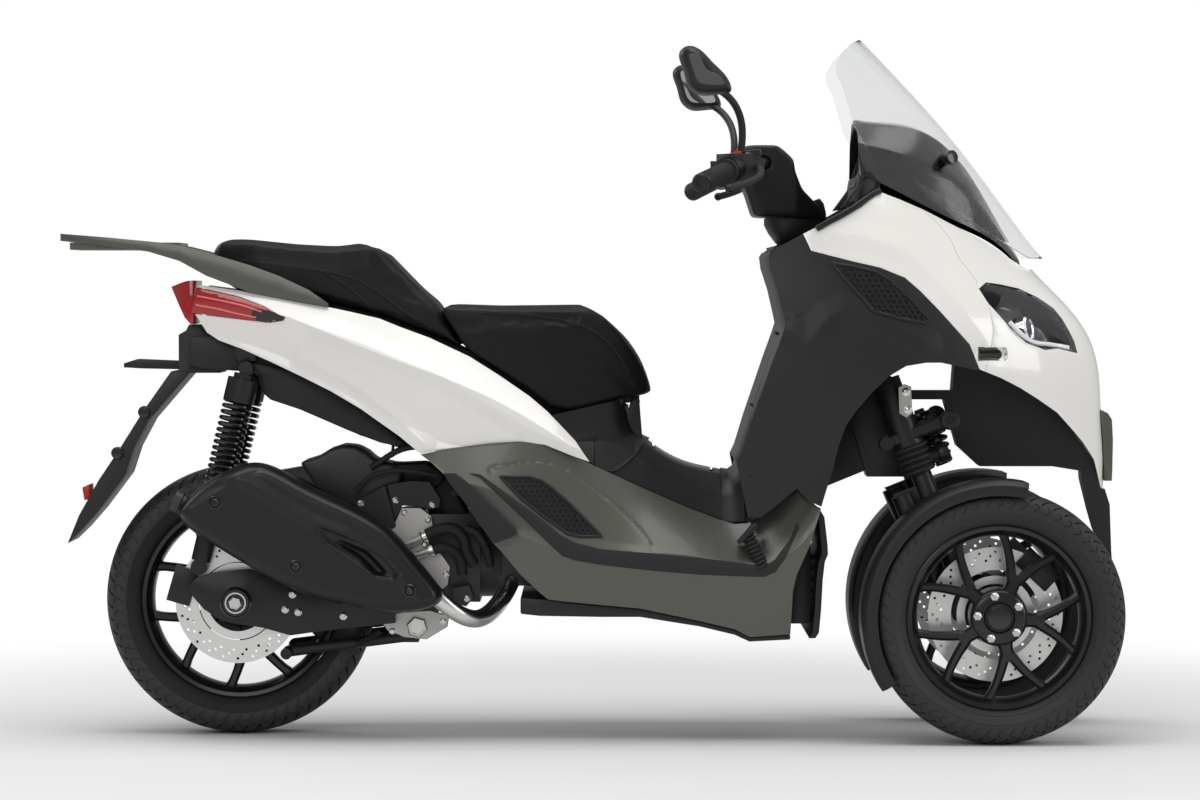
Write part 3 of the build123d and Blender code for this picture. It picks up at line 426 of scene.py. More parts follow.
def ringInto(bm, rows, place, turns=120):
    # closed profile of (radius, offset along the axle) turned about an axle along Y
    x, y, z = place
    rings = []
    for i in range(turns):
        a = 2 * math.pi * i / turns
        rings.append([point(bm, (x + r * math.cos(a), y + w, z + r * math.sin(a))) for r, w in rows])
    return bandsInto(bm, rings + rings[:1])


def capInto(bm, rows, place, turns=48):
    # a turned knob with a closed outer end, rows run from the seat to the middle of the end
    x, y, z = place
    angles = [2 * math.pi * i / turns for i in range(turns)]
    rings = [[point(bm, (x + r * math.cos(a), y + w, z + r * math.sin(a))) for a in angles]
             for r, w in rows[:-1]]
    tip = point(bm, (x, y + rows[-1][1], z))
    bandsInto(bm, rings)
    for i in range(turns):
        bm.faces.new((rings[-1][i], rings[-1][(i + 1) % turns], tip))
    return bm


def closedInto(bm, rings):
    bandsInto(bm, rings)
    bm.faces.new(rings[0])
    bm.faces.new(rings[-1])
    return bm


def smoothPath(points, steps=6):
    # curve through the points
    ends = [2 * Vector(points[0]) - Vector(points[1])] + [Vector(p) for p in points]
    ends.append(2 * Vector(points[-1]) - Vector(points[-2]))
    out = []
    for a, b, c, d in zip(ends, ends[1:], ends[2:], ends[3:]):
        for s in range(steps):
            t = s / steps
            out.append(0.5 * (2 * b + (c - a) * t + (2 * a - 5 * b + 4 * c - d) * t * t
                              + (3 * b - a - 3 * c + d) * t ** 3))
    out.append(Vector(points[-1]))
    return out


def sweepInto(bm, points, section, up=(0, 1, 0), grow=None):
    # section of (side, up) offsets carried along points, ends closed
    points = [Vector(p) for p in points]
    rings = []
    for i, p in enumerate(points):
        ahead = (points[min(i + 1, len(points) - 1)] - points[max(i - 1, 0)]).normalized()
        side = ahead.cross(Vector(up)).normalized()
        over = side.cross(ahead).normalized()
        wide, high = grow[i] if grow else (1.0, 1.0)
        rings.append([point(bm, p + side * s * wide + over * u * high) for s, u in section])
    return closedInto(bm, rings)


def circle(radius, sides=14):
    return [(radius * math.cos(2 * math.pi * i / sides), radius * math.sin(2 * math.pi * i / sides))
            for i in range(sides)]


def slab(width, height, cut):
    # oblong section with cut corners
    w, h = width / 2, height / 2
    return [(w, -h + cut), (w, h - cut), (w - cut, h), (-w + cut, h), (-w, h - cut), (-w, -h + cut),
            (-w + cut, -h), (w - cut, -h)]


def tubeInto(bm, points, radius, sides=14, steps=6, up=(0, 0.02, 1)):
    return sweepInto(bm, smoothPath(points, steps), circle(radius, sides), up)


def outlineInto(bm, points, y0, y1):
    # side-view outline carried across from y0 to y1
    low = [point(bm, (x, y0, z)) for x, z in points]
    top = [point(bm, (x, y1, z)) for x, z in points]
    bm.faces.new(low)
    bm.faces.new(top)
    n = len(points)
    for i in range(n):
        k = (i + 1) % n
        bm.faces.new((low[i], low[k], top[k], top[i]))
    return bm


def faced(bm):
    bmesh.ops.recalc_face_normals(bm, faces=bm.faces)
    return bm


def mirrored(bm):
    # the same piece on the other side
    double = bm.copy()
    bmesh.ops.transform(double, matrix=Matrix.Scale(-1, 4, (0, 1, 0)), verts=double.verts)
    bmesh.ops.reverse_faces(double, faces=double.faces)
    return double


def paired(name, make, skin, body, angle=35.0):
    # the right-hand piece and its mirror image
    right = faced(make())
    left = mirrored(right)
    return (build(name + "Right", right, skin, body, angle),
            build(name + "Left", left, skin, body, angle))


# one node group sets copies of a unit on points, each turned by its own angles
def repeatGroup():
    group = bpy.data.node_groups.new("repeatOnPoints", "GeometryNodeTree")
    group.interface.new_socket("Points", in_out="INPUT", socket_type="NodeSocketGeometry")
    group.interface.new_socket("Unit", in_out="INPUT", socket_type="NodeSocketObject")
    group.interface.new_socket("Skin", in_out="INPUT", socket_type="NodeSocketMaterial")
    group.interface.new_socket("Copies", in_out="OUTPUT", socket_type="NodeSocketGeometry")
    start = group.nodes.new("NodeGroupInput")
    end = group.nodes.new("NodeGroupOutput")
    unit = group.nodes.new("GeometryNodeObjectInfo")
    turn = group.nodes.new("GeometryNodeInputNamedAttribute")
    turn.data_type = "FLOAT_VECTOR"
    turn.inputs["Name"].default_value = "turn"
    copies = group.nodes.new("GeometryNodeInstanceOnPoints")
    real = group.nodes.new("GeometryNodeRealizeInstances")
    dress = group.nodes.new("GeometryNodeSetMaterial")
    link = group.links.new
    link(start.outputs["Points"], copies.inputs["Points"])
    link(start.outputs["Unit"], unit.inputs["Object"])
    link(unit.outputs["Geometry"], copies.inputs["Instance"])
    link(turn.outputs["Attribute"], copies.inputs["Rotation"])
    link(copies.outputs["Instances"], real.inputs["Geometry"])
    link(real.outputs["Geometry"], dress.inputs["Geometry"])
    link(start.outputs["Skin"], dress.inputs["Material"])
    link(dress.outputs["Geometry"], end.inputs["Copies"])
    return group


repeat = repeatGroup()


def repeated(name, unitShape, spots, skin, body):
    # spots of (place in mm, turn in degrees)
    unit = placed(name + "Unit", unitShape)
    mesh = bpy.data.meshes.new(name)
    mesh.from_pydata([tuple(c * mm for c in place) for place, turn in spots], [], [])
    turns = mesh.attributes.new("turn", "FLOAT_VECTOR", "POINT")
    for i, (place, turn) in enumerate(spots):
        turns.data[i].vector = [math.radians(t) for t in turn]
    piece = placed(name, mesh)
    copies = piece.modifiers.new("copies", "NODES")
    copies.node_group = repeat
    inputs = {"Unit": unit, "Skin": skins[skin]}
    for item in repeat.interface.items_tree:
        if item.name in inputs:
            copies[item.identifier] = inputs[item.name]
    applied(piece)
    bpy.data.objects.remove(unit)
    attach(piece, body)
    return piece


def unitMesh(name, bm, angle=35.0):
    shaded(faced(bm), angle)
    return meshOf(name, bm)


# wheels, in mm: the front pair share their sizes
frontWheel = {"radius": 242, "rim": 176, "width": 110, "disc": 129, "discAt": 58, "hubFace": 34,
              "hubBack": -54, "nuts": True,
              "spokes": {"fork": 86, "start": 4, "spread": 20, "wide": 18, "deep": 24}}
wheels = {
    "frontRight": {**frontWheel, "place": (778, -225, 242), "out": -1, "body": "right_front_wheel",
                   "nodes": ("front_tyre_right", "front_rim_right")},
    "frontLeft": {**frontWheel, "place": (778, 225, 242), "out": 1, "body": "left_front_wheel",
                  "nodes": ("front_tyre_left", "front_rim_left")},
    "rear": {"radius": 262, "rim": 192, "width": 140, "disc": 120, "discAt": -90, "hubFace": 48,
             "hubBack": -66, "nuts": False,
             "spokes": {"fork": 84, "start": 5, "spread": 20, "wide": 19, "deep": 30},
             "place": (-678, 0, 262), "out": -1, "body": "rear_wheel", "nodes": ("rear_tyre", "rear_rim")},
}
# depth in mm; groove, slant and the lug's values in degrees about the axle; the rest shares of the half width
tread = {"depth": 4.5, "pitches": 30, "groove": 1.05, "slant": 10.8, "rib": 0.10, "split": 0.52, "edge": 0.93,
         "stagger": 0.05, "middle": 0.06, "lugGap": 0.5, "lugSplit": 0.4, "lugSkew": 3.4}
arms = {"count": 5, "first": 67, "hub": 46, "steps": 6, "overlap": 12}
nuts = {"circle": 42, "size": 8.5, "deep": 9}


def crown(wheel, w):
    # radius of the tread face at a share of the half width
    rows = ((0.0, 0.0), (0.15, 0.003), (0.5, 0.05), (0.7, 0.11), (0.86, 0.20), (0.95, 0.30), (1.0, 0.42))
    s = abs(w)
    h = wheel["width"] / 2
    for (a, da), (b, db) in zip(rows, rows[1:]):
        if s <= b:
            t = (s - a) / (b - a)
            return wheel["radius"] - h * (da + (db - da) * t)
    return wheel["radius"] - h * rows[-1][1]


def treadBlock(bm, wheel, corners, steps=(4, 5)):
    # corners of (degrees, share of half width), a curved block standing on the carcass
    h = wheel["width"] / 2

    def mixed(axis, s, t):
        near = corners[0][axis] * (1 - s) + corners[1][axis] * s
        far = corners[3][axis] * (1 - s) + corners[2][axis] * s
        return near * (1 - t) + far * t

    shares = [[(i / steps[0], j / steps[1]) for j in range(steps[1] + 1)] for i in range(steps[0] + 1)]
    grid = [[(mixed(0, s, t), mixed(1, s, t)) for s, t in row] for row in shares]

    def spot(u, w, lift):
        r = crown(wheel, w) - lift
        a = math.radians(u)
        return point(bm, (r * math.cos(a), w * h * (1 - 0.25 * lift / h * abs(w)), r * math.sin(a)))

    top = [[spot(u, w, 0) for u, w in row] for row in grid]
    low = [[spot(u, w, tread["depth"] + 0.5) for u, w in row] for row in grid]
    for i in range(steps[0]):
        for j in range(steps[1]):
            bm.faces.new((top[i][j], top[i + 1][j], top[i + 1][j + 1], top[i][j + 1]))
    edge = [(i, 0) for i in range(steps[0])] + [(steps[0], j) for j in range(steps[1])]
    edge += [(i, steps[1]) for i in range(steps[0], 0, -1)] + [(0, j) for j in range(steps[1], 0, -1)]
    for (a, b), (c, d) in zip(edge, edge[1:] + edge[:1]):
        bm.faces.new((top[a][b], top[c][d], low[c][d], low[a][b]))
    loose = [v for row in low for v in row if not v.link_faces]
    bmesh.ops.delete(bm, geom=loose, context="VERTS")


def shoulderLug(bm, wheel, u0, u1, skew, side, steps=4):
    # raised lug that carries the tread over the shoulder on to the side wall
    h, radius = wheel["width"] / 2, wheel["radius"]
    rows = ((0.60, 1.0), (0.50, 1.004), (0.42, 1.002), (0.35, 0.977), (0.295, 0.948), (0.26, 0.922))
    last = len(rows) - 1
    top, low = [], []
    for j, (drop, w) in enumerate(rows):
        lean = skew * (abs(2 * j / last - 1) - 0.5)
        lift = 0.3 if j == 0 else 1.5
        for line, out in ((top, lift), (low, -1.2)):
            line.append([])
            for i in range(steps + 1):
                a = math.radians(u0 + (u1 - u0) * i / steps + lean)
                r = radius - drop * h
                line[-1].append(point(bm, (r * math.cos(a), side * (w * h + out), r * math.sin(a))))
    for j in range(last):
        for i in range(steps):
            bm.faces.new((top[j][i], top[j][i + 1], top[j + 1][i + 1], top[j + 1][i]))
        for i in (0, steps):
            bm.faces.new((top[j][i], top[j + 1][i], low[j + 1][i], low[j][i]))
    for j in (0, last):
        for i in range(steps):
            bm.faces.new((top[j][i], top[j][i + 1], low[j][i + 1], low[j][i]))
    for line in low[1:-1]:
        bmesh.ops.delete(bm, geom=[v for v in line if not v.link_faces], context="VERTS")


def treadTile(wheel):
    bm = bmesh.new()
    pitch = 360 / tread["pitches"]
    half, gap = pitch / 2, tread["groove"] / 2
    for side in (-1, 1):
        def at(u, w):
            return (u + tread["slant"] * w, side * w)
        treadBlock(bm, wheel, [at(gap, tread["rib"]), at(pitch - gap, tread["rib"]),
                               at(pitch - gap, tread["split"]), at(gap, tread["split"])])
        for start, early, late in ((0, 0, tread["stagger"]), (half, tread["stagger"], 0)):
            treadBlock(bm, wheel, [at(start + gap, tread["split"] + early),
                                   at(start + half - gap, tread["split"] + late),
                                   at(start + half - gap, tread["edge"]),
                                   at(start + gap, tread["edge"])], (3, 5))
    for side in (-1, 1):
        shoulderLug(bm, wheel, tread["lugGap"], half - tread["lugSplit"], tread["lugSkew"], side)
        shoulderLug(bm, wheel, half + tread["lugSplit"], pitch - tread["lugGap"], tread["lugSkew"], side)
    rib = tread["middle"]
    treadBlock(bm, wheel, [(0, -rib), (pitch, -rib), (pitch, rib), (0, rib)], (4, 2))
    return unitMesh("treadTile", bm)


def carcass(wheel):
    # side walls with fine ridges, and the floor of the tread
    h, rim, radius = wheel["width"] / 2, wheel["rim"], wheel["radius"]
    side = [(rim + 0.5, 0.60), (rim + 3, 0.68), (rim + 8, 0.78), (rim + 9.5, 0.80), (rim + 10.5, 0.79),
            (rim + 16, 0.87), (rim + 24, 0.955), (rim + 25, 0.972), (rim + 26.5, 0.972), (rim + 27.5, 0.964),
            (radius - 0.62 * h, 0.995), (radius - 0.42 * h, 1.0), (crown(wheel, 0.97), 0.975),
            (crown(wheel, 0.945), 0.945), (crown(wheel, 0.935) - tread["depth"], 0.925)]
    floor = [(crown(wheel, w) - tread["depth"], w) for w in (0.86, 0.7, 0.5, 0.3, 0.1)]
    return [(r, -w * h) for r, w in side + floor] + [(r, w * h) for r, w in reversed(side + floor)]


def flangeRows(wheel):
    r, h = wheel["rim"], 0.62 * wheel["width"] / 2
    return [(r, -h), (r - 3, -h - 1.5), (r - 10, -h), (r - 15, -h + 6), (r - 19, -0.62 * h),
            (r - 23, -0.2 * h), (r - 23, 0.2 * h), (r - 19, 0.62 * h), (r - 15, h - 6), (r - 10, h),
            (r - 3, h + 1.5), (r, h), (r - 3, h - 8), (r - 9, 0.4 * h), (r - 9, -0.4 * h), (r - 3, -h + 8)]


def spokesInto(bm, wheel):
    # stems from the hub that fork into two arms before the rim
    x, y, z = wheel["place"]
    out, plan = wheel["out"], wheel["spokes"]
    fork, end = plan["fork"], wheel["rim"] - 17

    def spot(r, turn):
        t = (r - arms["hub"]) / (end - arms["hub"])
        a = math.radians(turn)
        return (x + r * math.cos(a), y + out * (16 - 8 * t), z + r * math.sin(a))

    for i in range(arms["count"]):
        root = arms["first"] + 360 / arms["count"] * i
        stem = [spot(r, root) for r in (44, 56, 68, fork)]
        sweepInto(bm, stem, slab(plan["wide"] * 1.5, plan["deep"], 5), (0, out, 0),
                  [(1.25, 1.05), (1.0, 1.0), (0.95, 1.0), (1.05, 0.95)])
        for side in (-1, 1):
            path, grow = [], []
            for s in range(arms["steps"] + 1):
                t = s / arms["steps"]
                r = fork - arms["overlap"] + (end - fork + arms["overlap"]) * t
                away = plan["start"] + (plan["spread"] - plan["start"]) * t ** 0.8
                path.append(spot(r, root + side * away))
                grow.append((1.1 - 0.3 * t + 1.25 * max(0.0, t - 0.8), 1.0 - 0.2 * t))
            sweepInto(bm, path, slab(plan["wide"], plan["deep"], 5), (0, out, 0), grow)


def rimBody(wheel):
    bm = bmesh.new()
    out, face, back = wheel["out"], wheel["hubFace"], wheel["hubBack"]
    ringInto(bm, flangeRows(wheel), wheel["place"], 128)
    spokesInto(bm, wheel)
    rows = [(14, back), (50, back), (54, back + 4), (56, 8), (54, face - 8), (50, face - 3), (44, face),
            (30, face), (27, face - 3), (14, face - 3)]
    ringInto(bm, [(r, out * w) for r, w in rows], wheel["place"], 64)
    return faced(bm)


# brake disc: rows of (distance in from the edge, turn in degrees) for the holes
disc = {"ring": 44, "thick": 2.3, "inner": (58.6, 74), "innerThick": 2.0, "arms": 6, "armTurn": 16,
        "holes": ((9, 0.0), (17, 5.0), (25, 10.0)), "perRow": 24, "hole": 2.7}


def drilledDisc(name, wheel):
    x, y, z = wheel["place"]
    at = y - wheel["out"] * wheel["discAt"]
    outer = wheel["disc"]

    def spot(r, turn):
        return (x + r * math.cos(math.radians(turn)), at, z + r * math.sin(math.radians(turn)))

    bm = bmesh.new()
    for low, high, thick, turns in ((outer - disc["ring"], outer, disc["thick"], 96),
                                    (*disc["inner"], disc["innerThick"], 72)):
        ringInto(bm, [(low, -thick), (high, -thick), (high, thick), (low, thick)], (x, at, z), turns)
    for i in range(disc["arms"]):
        turn = 360 / disc["arms"] * i
        path = [spot(68, turn), spot(outer - 38, turn + disc["armTurn"])]
        sweepInto(bm, path, slab(15, 3.6, 0.8), (0, 1, 0))
    piece = build(name, faced(bm), "disc", wheel["body"])
    holes = bmesh.new()
    for inward, shift in disc["holes"]:
        for i in range(disc["perRow"]):
            middle = spot(outer - inward, 360 / disc["perRow"] * i + shift)
            place = Matrix.Translation([c * mm for c in middle])
            bmesh.ops.create_cone(holes, cap_ends=True, segments=10, radius1=disc["hole"] * mm,
                                  radius2=disc["hole"] * mm, depth=12 * mm,
                                  matrix=place @ Matrix.Rotation(math.pi / 2, 4, "X"))
    return carved(piece, holes)


def hexNut(radius, deep, out):
    bm = outlineInto(bmesh.new(), circle(radius, 6), 0, out * deep * 0.7)
    rows = [(0.8, 0.6), (0.78, 0.8), (0.5, 1), (0, 1)]
    capInto(bm, [(radius * r, out * deep * w) for r, w in rows], (0, 0, 0), 16)
    return unitMesh("hexNut", bm)


def wheelNuts(label, wheel):
    # nuts between the spokes and a cap over the axle
    x, y, z = wheel["place"]
    out, step = wheel["out"], 360 / arms["count"]
    turns = [math.radians(arms["first"] + step * (i + 0.5)) for i in range(arms["count"])]
    r, face = nuts["circle"], y + out * wheel["hubFace"]
    spots = [((x + r * math.cos(a), face, z + r * math.sin(a)), (0, 0, 0)) for a in turns]
    unit = hexNut(nuts["size"], nuts["deep"], out)
    repeated(label + "Nuts", unit, spots, "steel", wheel["body"])
    rows = [(24, 31), (24, 37), (22, 39), (18, 39.5), (0, 39.5)]
    cap = capInto(bmesh.new(), [(r, out * w) for r, w in rows], (x, y, z))
    build(label + "Cap", faced(cap), "gloss", wheel["body"])


for label, wheel in wheels.items():
    carcassRing = faced(ringInto(bmesh.new(), carcass(wheel), wheel["place"], 160))
    build(label + "Tyre", carcassRing, "tyre", wheel["body"], 30, (wheel["nodes"][0],))
    step = 360 / tread["pitches"]
    spots = [(wheel["place"], (0, -step * i, 0)) for i in range(tread["pitches"])]
    repeated(label + "Tread", treadTile(wheel), spots, "tyre", wheel["body"])
    build(label + "Rim", rimBody(wheel), "rim", wheel["body"], 30, (wheel["nodes"][1],))
    drilledDisc(label + "Disc", wheel)
    if wheel["nuts"]:
        wheelNuts(label, wheel)
print("wheels")


# seat cushions, padded and puffed by a short cloth run
padding = {"voxel": 4.5, "soften": 22, "pressure": 4.0, "stiff": 30.0, "frames": 20, "cap": 4.0, "fill": 0.8}


def puffed(piece):
    mesh = piece.data
    before = [v.co.copy() for v in mesh.vertices]
    pin = piece.vertex_groups.new(name="under")
    pin.add([v.index for v in mesh.vertices if v.normal.z < -0.5], 1.0, "REPLACE")
    puff = piece.modifiers.new("puff", "CLOTH")
    puff.settings.use_pressure = True
    puff.settings.uniform_pressure_force = padding["pressure"]
    puff.settings.vertex_group_mass = "under"
    puff.settings.effector_weights.gravity = 0.0
    puff.settings.tension_stiffness = padding["stiff"]
    puff.settings.compression_stiffness = padding["stiff"]
    puff.settings.quality = 4
    for step in range(1, padding["frames"] + 1):
        bpy.context.scene.frame_set(step)
    mesh = applied(piece)
    bpy.context.scene.frame_set(1)
    for v, old in zip(mesh.vertices, before):
        move = v.co - old
        if move.length > padding["cap"] * mm:
            v.co = old + move.normalized() * padding["cap"] * mm
    piece.vertex_groups.clear()


def cushion(node):
    piece = build(camel(node), merged(node), "seat", nodes[node]["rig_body"], 180, (node,))
    voxels(piece, padding["voxel"])
    mesh = applied(piece)
    bm = bmesh.new()
    bm.from_mesh(mesh)
    evened(bm, padding["soften"])
    bm.to_mesh(mesh)
    bm.free()
    puffed(piece)
    dressed(piece.data, "seat")
    return piece


seats = {node: cushion(node) for node in ("rider_cushion", "passenger_cushion")}
print("seat")


# places on a skin, found by looking in from the side
def skinTree(piece):
    mesh = piece.data
    return BVHTree.FromPolygons([v.co for v in mesh.vertices], [p.vertices for p in mesh.polygons])


trees = {}


def onSkin(piece, x, z, side=-1, lift=0.0):
    # point and outward direction on the outer face, side -1 is the right
    if piece.name not in trees:
        trees[piece.name] = skinTree(piece)
    start = Vector((x * mm, side * 1.2, z * mm))  # well outside the widest part
    hit, normal, _, _ = trees[piece.name].ray_cast(start, Vector((0, -side, 0)))
    if hit is None:
        return None
    if normal.y * side < 0:
        normal = -normal
    return hit / mm + normal * lift, normal


def seam(name, piece, points, radius, skin, body, lift=0.2, side=-1):
    # a fine bead laid on the skin along a side-view line
    spots = [onSkin(piece, p.x, p.z, side, lift) for p in smoothPath([(x, 0, z) for x, z in points], 6)]
    path = [spot[0] for spot in spots if spot]
    return build(name, faced(sweepInto(bmesh.new(), path, circle(radius, 6), (0, 1, 0))), skin, body)


def flatFace(points):
    bm = bmesh.new()
    face = bm.faces.new([bm.verts.new((x * mm, 0, z * mm)) for x, z in points])
    bmesh.ops.triangulate(bm, faces=[face])
    return bm


seamLines = {
    "riderSeam": ("rider_cushion", [(-210, 819), (-132, 813), (-55, 802), (2, 783), (44, 748), (71, 706)]),
    "passengerSeam": ("passenger_cushion", [(-516, 898), (-468, 869), (-430, 836), (-403, 807)]),
    "backSeam": ("passenger_cushion",
                 [(-674, 917), (-574, 905), (-478, 890), (-416, 863), (-359, 821), (-301, 786)]),
}
stitching = {"bead": 0.9, "pitch": 6.5, "beside": (2, 4), "lift": 0.2, "thread": 0.55}
sides = ((-1, "Right"), (1, "Left"))


def stitchUnit():
    line = [(-2.2, 0, 0), (-1.6, -0.5, 0), (1.6, -0.5, 0), (2.2, 0, 0)]
    return unitMesh("stitch", sweepInto(bmesh.new(), line, circle(stitching["thread"], 6), (0, 1, 0)))


def stitchSpots(piece, line, side):
    spots, length = [], 0.0
    along, above = stitching["beside"]
    walk = smoothPath([(x, 0, z) for x, z in line], 40)
    for a, b in zip(walk, walk[1:]):
        length += (b - a).length
        if length > stitching["pitch"]:
            length = 0.0
            found = onSkin(piece, b.x + along, b.z + above, side, stitching["lift"])
            if found:
                spots.append((found[0], (0, math.degrees(math.atan2(a.z - b.z, b.x - a.x)), 0)))
    return spots


for label, (node, line) in seamLines.items():
    body = nodes[node]["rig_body"]
    for side, word in sides:
        seam(label + word, seats[node], line, stitching["bead"], "seat", body, 0.2, side)
        spots = stitchSpots(seats[node], line, side)
        repeated(label + word + "Stitches", stitchUnit(), spots, "thread", body)
print("seams")


# honeycomb vents set into the shields and skirts
vents = {
    "shieldVent": {"node": "shield_", "cell": 6.6,
                   "line": [(461, 912), (498, 907), (542, 897), (570, 880), (603, 850), (644, 806),
                            (637, 799), (589, 808), (536, 823), (523, 841), (489, 878)]},
    "skirtVent": {"node": "skirt_", "cell": 6.2,
                  "line": [(-168, 508), (-111, 507), (-92, 501), (-70, 486), (-35, 455), (3, 417), (25, 395),
                           (-16, 395), (-39, 400), (-83, 431), (-126, 465)]},
}
cellWall = {"wall": 1.7, "deep": 3.0, "margin": 4.5}


def cellUnit(radius):
    bm = bmesh.new()
    inner, deep = radius - cellWall["wall"], cellWall["deep"]
    turns = [math.radians(60 * i + 30) for i in range(6)]
    rows = [(radius, 0.0), (radius, -deep), (inner, -deep), (inner, 0.0)]
    rings = [[point(bm, (r * math.cos(a), w, r * math.sin(a))) for a in turns] for r, w in rows]
    return unitMesh("ventCell", bandsInto(bm, rings))


# the back is a flat sheet laid on the skin under the cells; its painted shade black stands for the dark
# hollow behind the grille
def ventBack(piece, line, side):
    bm = flatFace(line)
    for _ in range(3):
        bmesh.ops.subdivide_edges(bm, edges=bm.edges, cuts=1, use_grid_fill=True)
    for v in bm.verts:
        spot = onSkin(piece, v.co.x / mm, v.co.z / mm, side, 0.5)
        if spot:
            v.co = spot[0] * mm
    return bm


def ventFrame(piece, line, side):
    loop = []
    for (xa, za), (xb, zb) in zip(line, line[1:] + line[:1]):
        for s in range(5):
            spot = onSkin(piece, xa + (xb - xa) * s / 5, za + (zb - za) * s / 5, side, 1.0)
            if spot:
                loop.append(spot[0])
    return sweepInto(bmesh.new(), loop + loop[:2], slab(6, 4, 1.2), (0, 1, 0))


def cellSpots(piece, line, side, cell):
    # rows of cells inside the outline, each turned to face out of the skin
    spots = []
    step = cell * math.sqrt(3)
    xs, zs = [p[0] for p in line], [p[1] for p in line]
    row, z = 0, min(zs)
    while z < max(zs):
        x = min(xs) + (row % 2) * step / 2
        while x < max(xs):
            if inside(line, x, z) and edgeGap(line, x, z) > cellWall["margin"]:
                spot = onSkin(piece, x, z, side, 0.3)
                if spot:
                    turn = Vector((0, -1, 0)).rotation_difference(spot[1]).to_euler()
                    spots.append((spot[0], tuple(math.degrees(t) for t in turn)))
            x += step
        row, z = row + 1, z + cell * 1.5
    return spots


for label, vent in vents.items():
    for side, word in sides:
        piece, line = made[vent["node"] + word.lower()], vent["line"]
        bm = ventBack(piece, line, side)
        # vent back in painted shade
        build(label + "Back" + word, faced(bm), "deep", "chassis")
        bm = ventFrame(piece, line, side)
        build(label + "Frame" + word, faced(bm), "black", "chassis")
        spots = cellSpots(piece, line, side, vent["cell"])
        repeated(label + "Cells" + word, cellUnit(vent["cell"]), spots, "black", "chassis")
print("vents")


# coil springs
def coilInto(bm, top, low, radius, wire, turns, steps=16):
    a, b = Vector(top), Vector(low)
    axis = (b - a).normalized()
    side = axis.orthogonal().normalized()
    over = axis.cross(side)
    path = []
    for i in range(turns * steps + 1):
        t = i / (turns * steps)
        angle = 2 * math.pi * turns * t
        path.append(a + (b - a) * t + (side * math.cos(angle) + over * math.sin(angle)) * radius)
    return sweepInto(bm, path, circle(wire, 8), axis)


# rear shock: rods as (from, to, radius) along its length, eyes as (radius, half width)
shock = {"top": (-659, -117, 712), "low": (-749.5, -117, 330), "coil": 25.5, "wire": 4.4, "turns": 15,
         "spring": (0.165, 0.62), "eyes": ((14, 12), (16, 15)),
         "rods": [(0, 1, 9), (0.03, 0.055, 20), (0.055, 0.17, 30), (0.30, 0.62, 18), (0.62, 0.655, 32),
                  (0.655, 0.69, 26), (0.69, 0.97, 19)]}


def shockSpot(t):
    top, low = Vector(shock["top"]), Vector(shock["low"])
    return top + (low - top) * t


def rodInto(bm, a, b, radius, sides=28):
    return sweepInto(bm, [a, b], circle(radius, sides), (0.02, 1, 0.03))


def rearShock():
    bm = bmesh.new()
    for start, end, radius in shock["rods"]:
        rodInto(bm, shockSpot(start), shockSpot(end), radius)
    for (x, y, z), (r, w) in zip((shock["top"], shock["low"]), shock["eyes"]):
        rodInto(bm, (x, y - w, z), (x, y + w, z), r)
    return bm


def rearSpring():
    top, low = [shockSpot(t) for t in shock["spring"]]
    return coilInto(bmesh.new(), top, low, shock["coil"], shock["wire"], shock["turns"])


rightShock, _ = paired("rearShock", rearShock, "frame", "chassis")
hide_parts("rear_shocks")
paired("rearSpring", rearSpring, "gloss", "chassis")
print("springs")


# headlamps: a dark bowl with a projector, a reflector and a light strip behind each lens
lamp = {
    "edge": [(744, 865), (759, 877), (788, 873), (826, 865), (864, 848), (897, 827), (914, 806), (926, 785),
             (937, 764), (943, 741), (903, 750), (874, 748), (836, 762), (807, 787), (784, 813), (761, 838)],
    "middle": (848, 805), "inset": 0.015, "grid": 7.0, "gap": 5.0, "deep": 34.0, "rim": 20.0,
    "projector": (858, 800), "reflector": (806, 842), "stripLift": 12.0, "stripRadius": 4.2,
    "strip": [(800, 800), (824, 776), (858, 764), (894, 760), (926, 752)],
    "ringRows": [(27, -6), (27, 10), (24, 14), (21, 12), (19, 4), (17, 3)],
    "bulbRows": [(18, 2), (17, 8), (13, 13), (7, 16), (0, 17)],
    "reflectorRows": [(24, 12), (22, 12), (16, 4), (8, 0), (0, -1)],
}


def bowlPoint(x, z, side, lift=0.0):
    spot = onSkin(made["front_lamps"], x, z, side)
    if spot is None:
        return None
    t = min(1.0, edgeGap(lamp["edge"], x, z) / lamp["rim"])
    return spot[0] - spot[1] * (lamp["gap"] + lamp["deep"] * eased(t) - lift), spot[1]


def lampBowl(side):
    bm = denser(flatFace(lamp["edge"]), lamp["grid"])
    gone = []
    (mx, mz), inset = lamp["middle"], lamp["inset"]
    for v in bm.verts:
        x = v.co.x / mm * (1 - inset) + mx * inset
        z = v.co.z / mm * (1 - inset) + mz * inset
        found = bowlPoint(x, z, side)
        if found:
            v.co = found[0] * mm
        else:
            gone.append(v)
    bmesh.ops.delete(bm, geom=gone, context="VERTS")
    return bm


def turned(bm, rows, place, facing, turns=32):
    # rows of (radius, distance ahead) about a direction
    ahead = Vector(facing).normalized()
    side = ahead.orthogonal().normalized()
    over = ahead.cross(side)
    turnAngles = [2 * math.pi * i / turns for i in range(turns)]
    rings = []
    for r, w in rows:
        middle = Vector(place) + ahead * w
        if r == 0:
            rings.append([point(bm, middle)] * turns)
        else:
            rings.append([point(bm, middle + (side * math.cos(a) + over * math.sin(a)) * r)
                          for a in turnAngles])
    for one, two in zip(rings, rings[1:]):
        for i in range(turns):
            k = (i + 1) % turns
            corners = dict.fromkeys((one[i], one[k], two[k], two[i]))
            bm.faces.new(list(corners))
    return bm


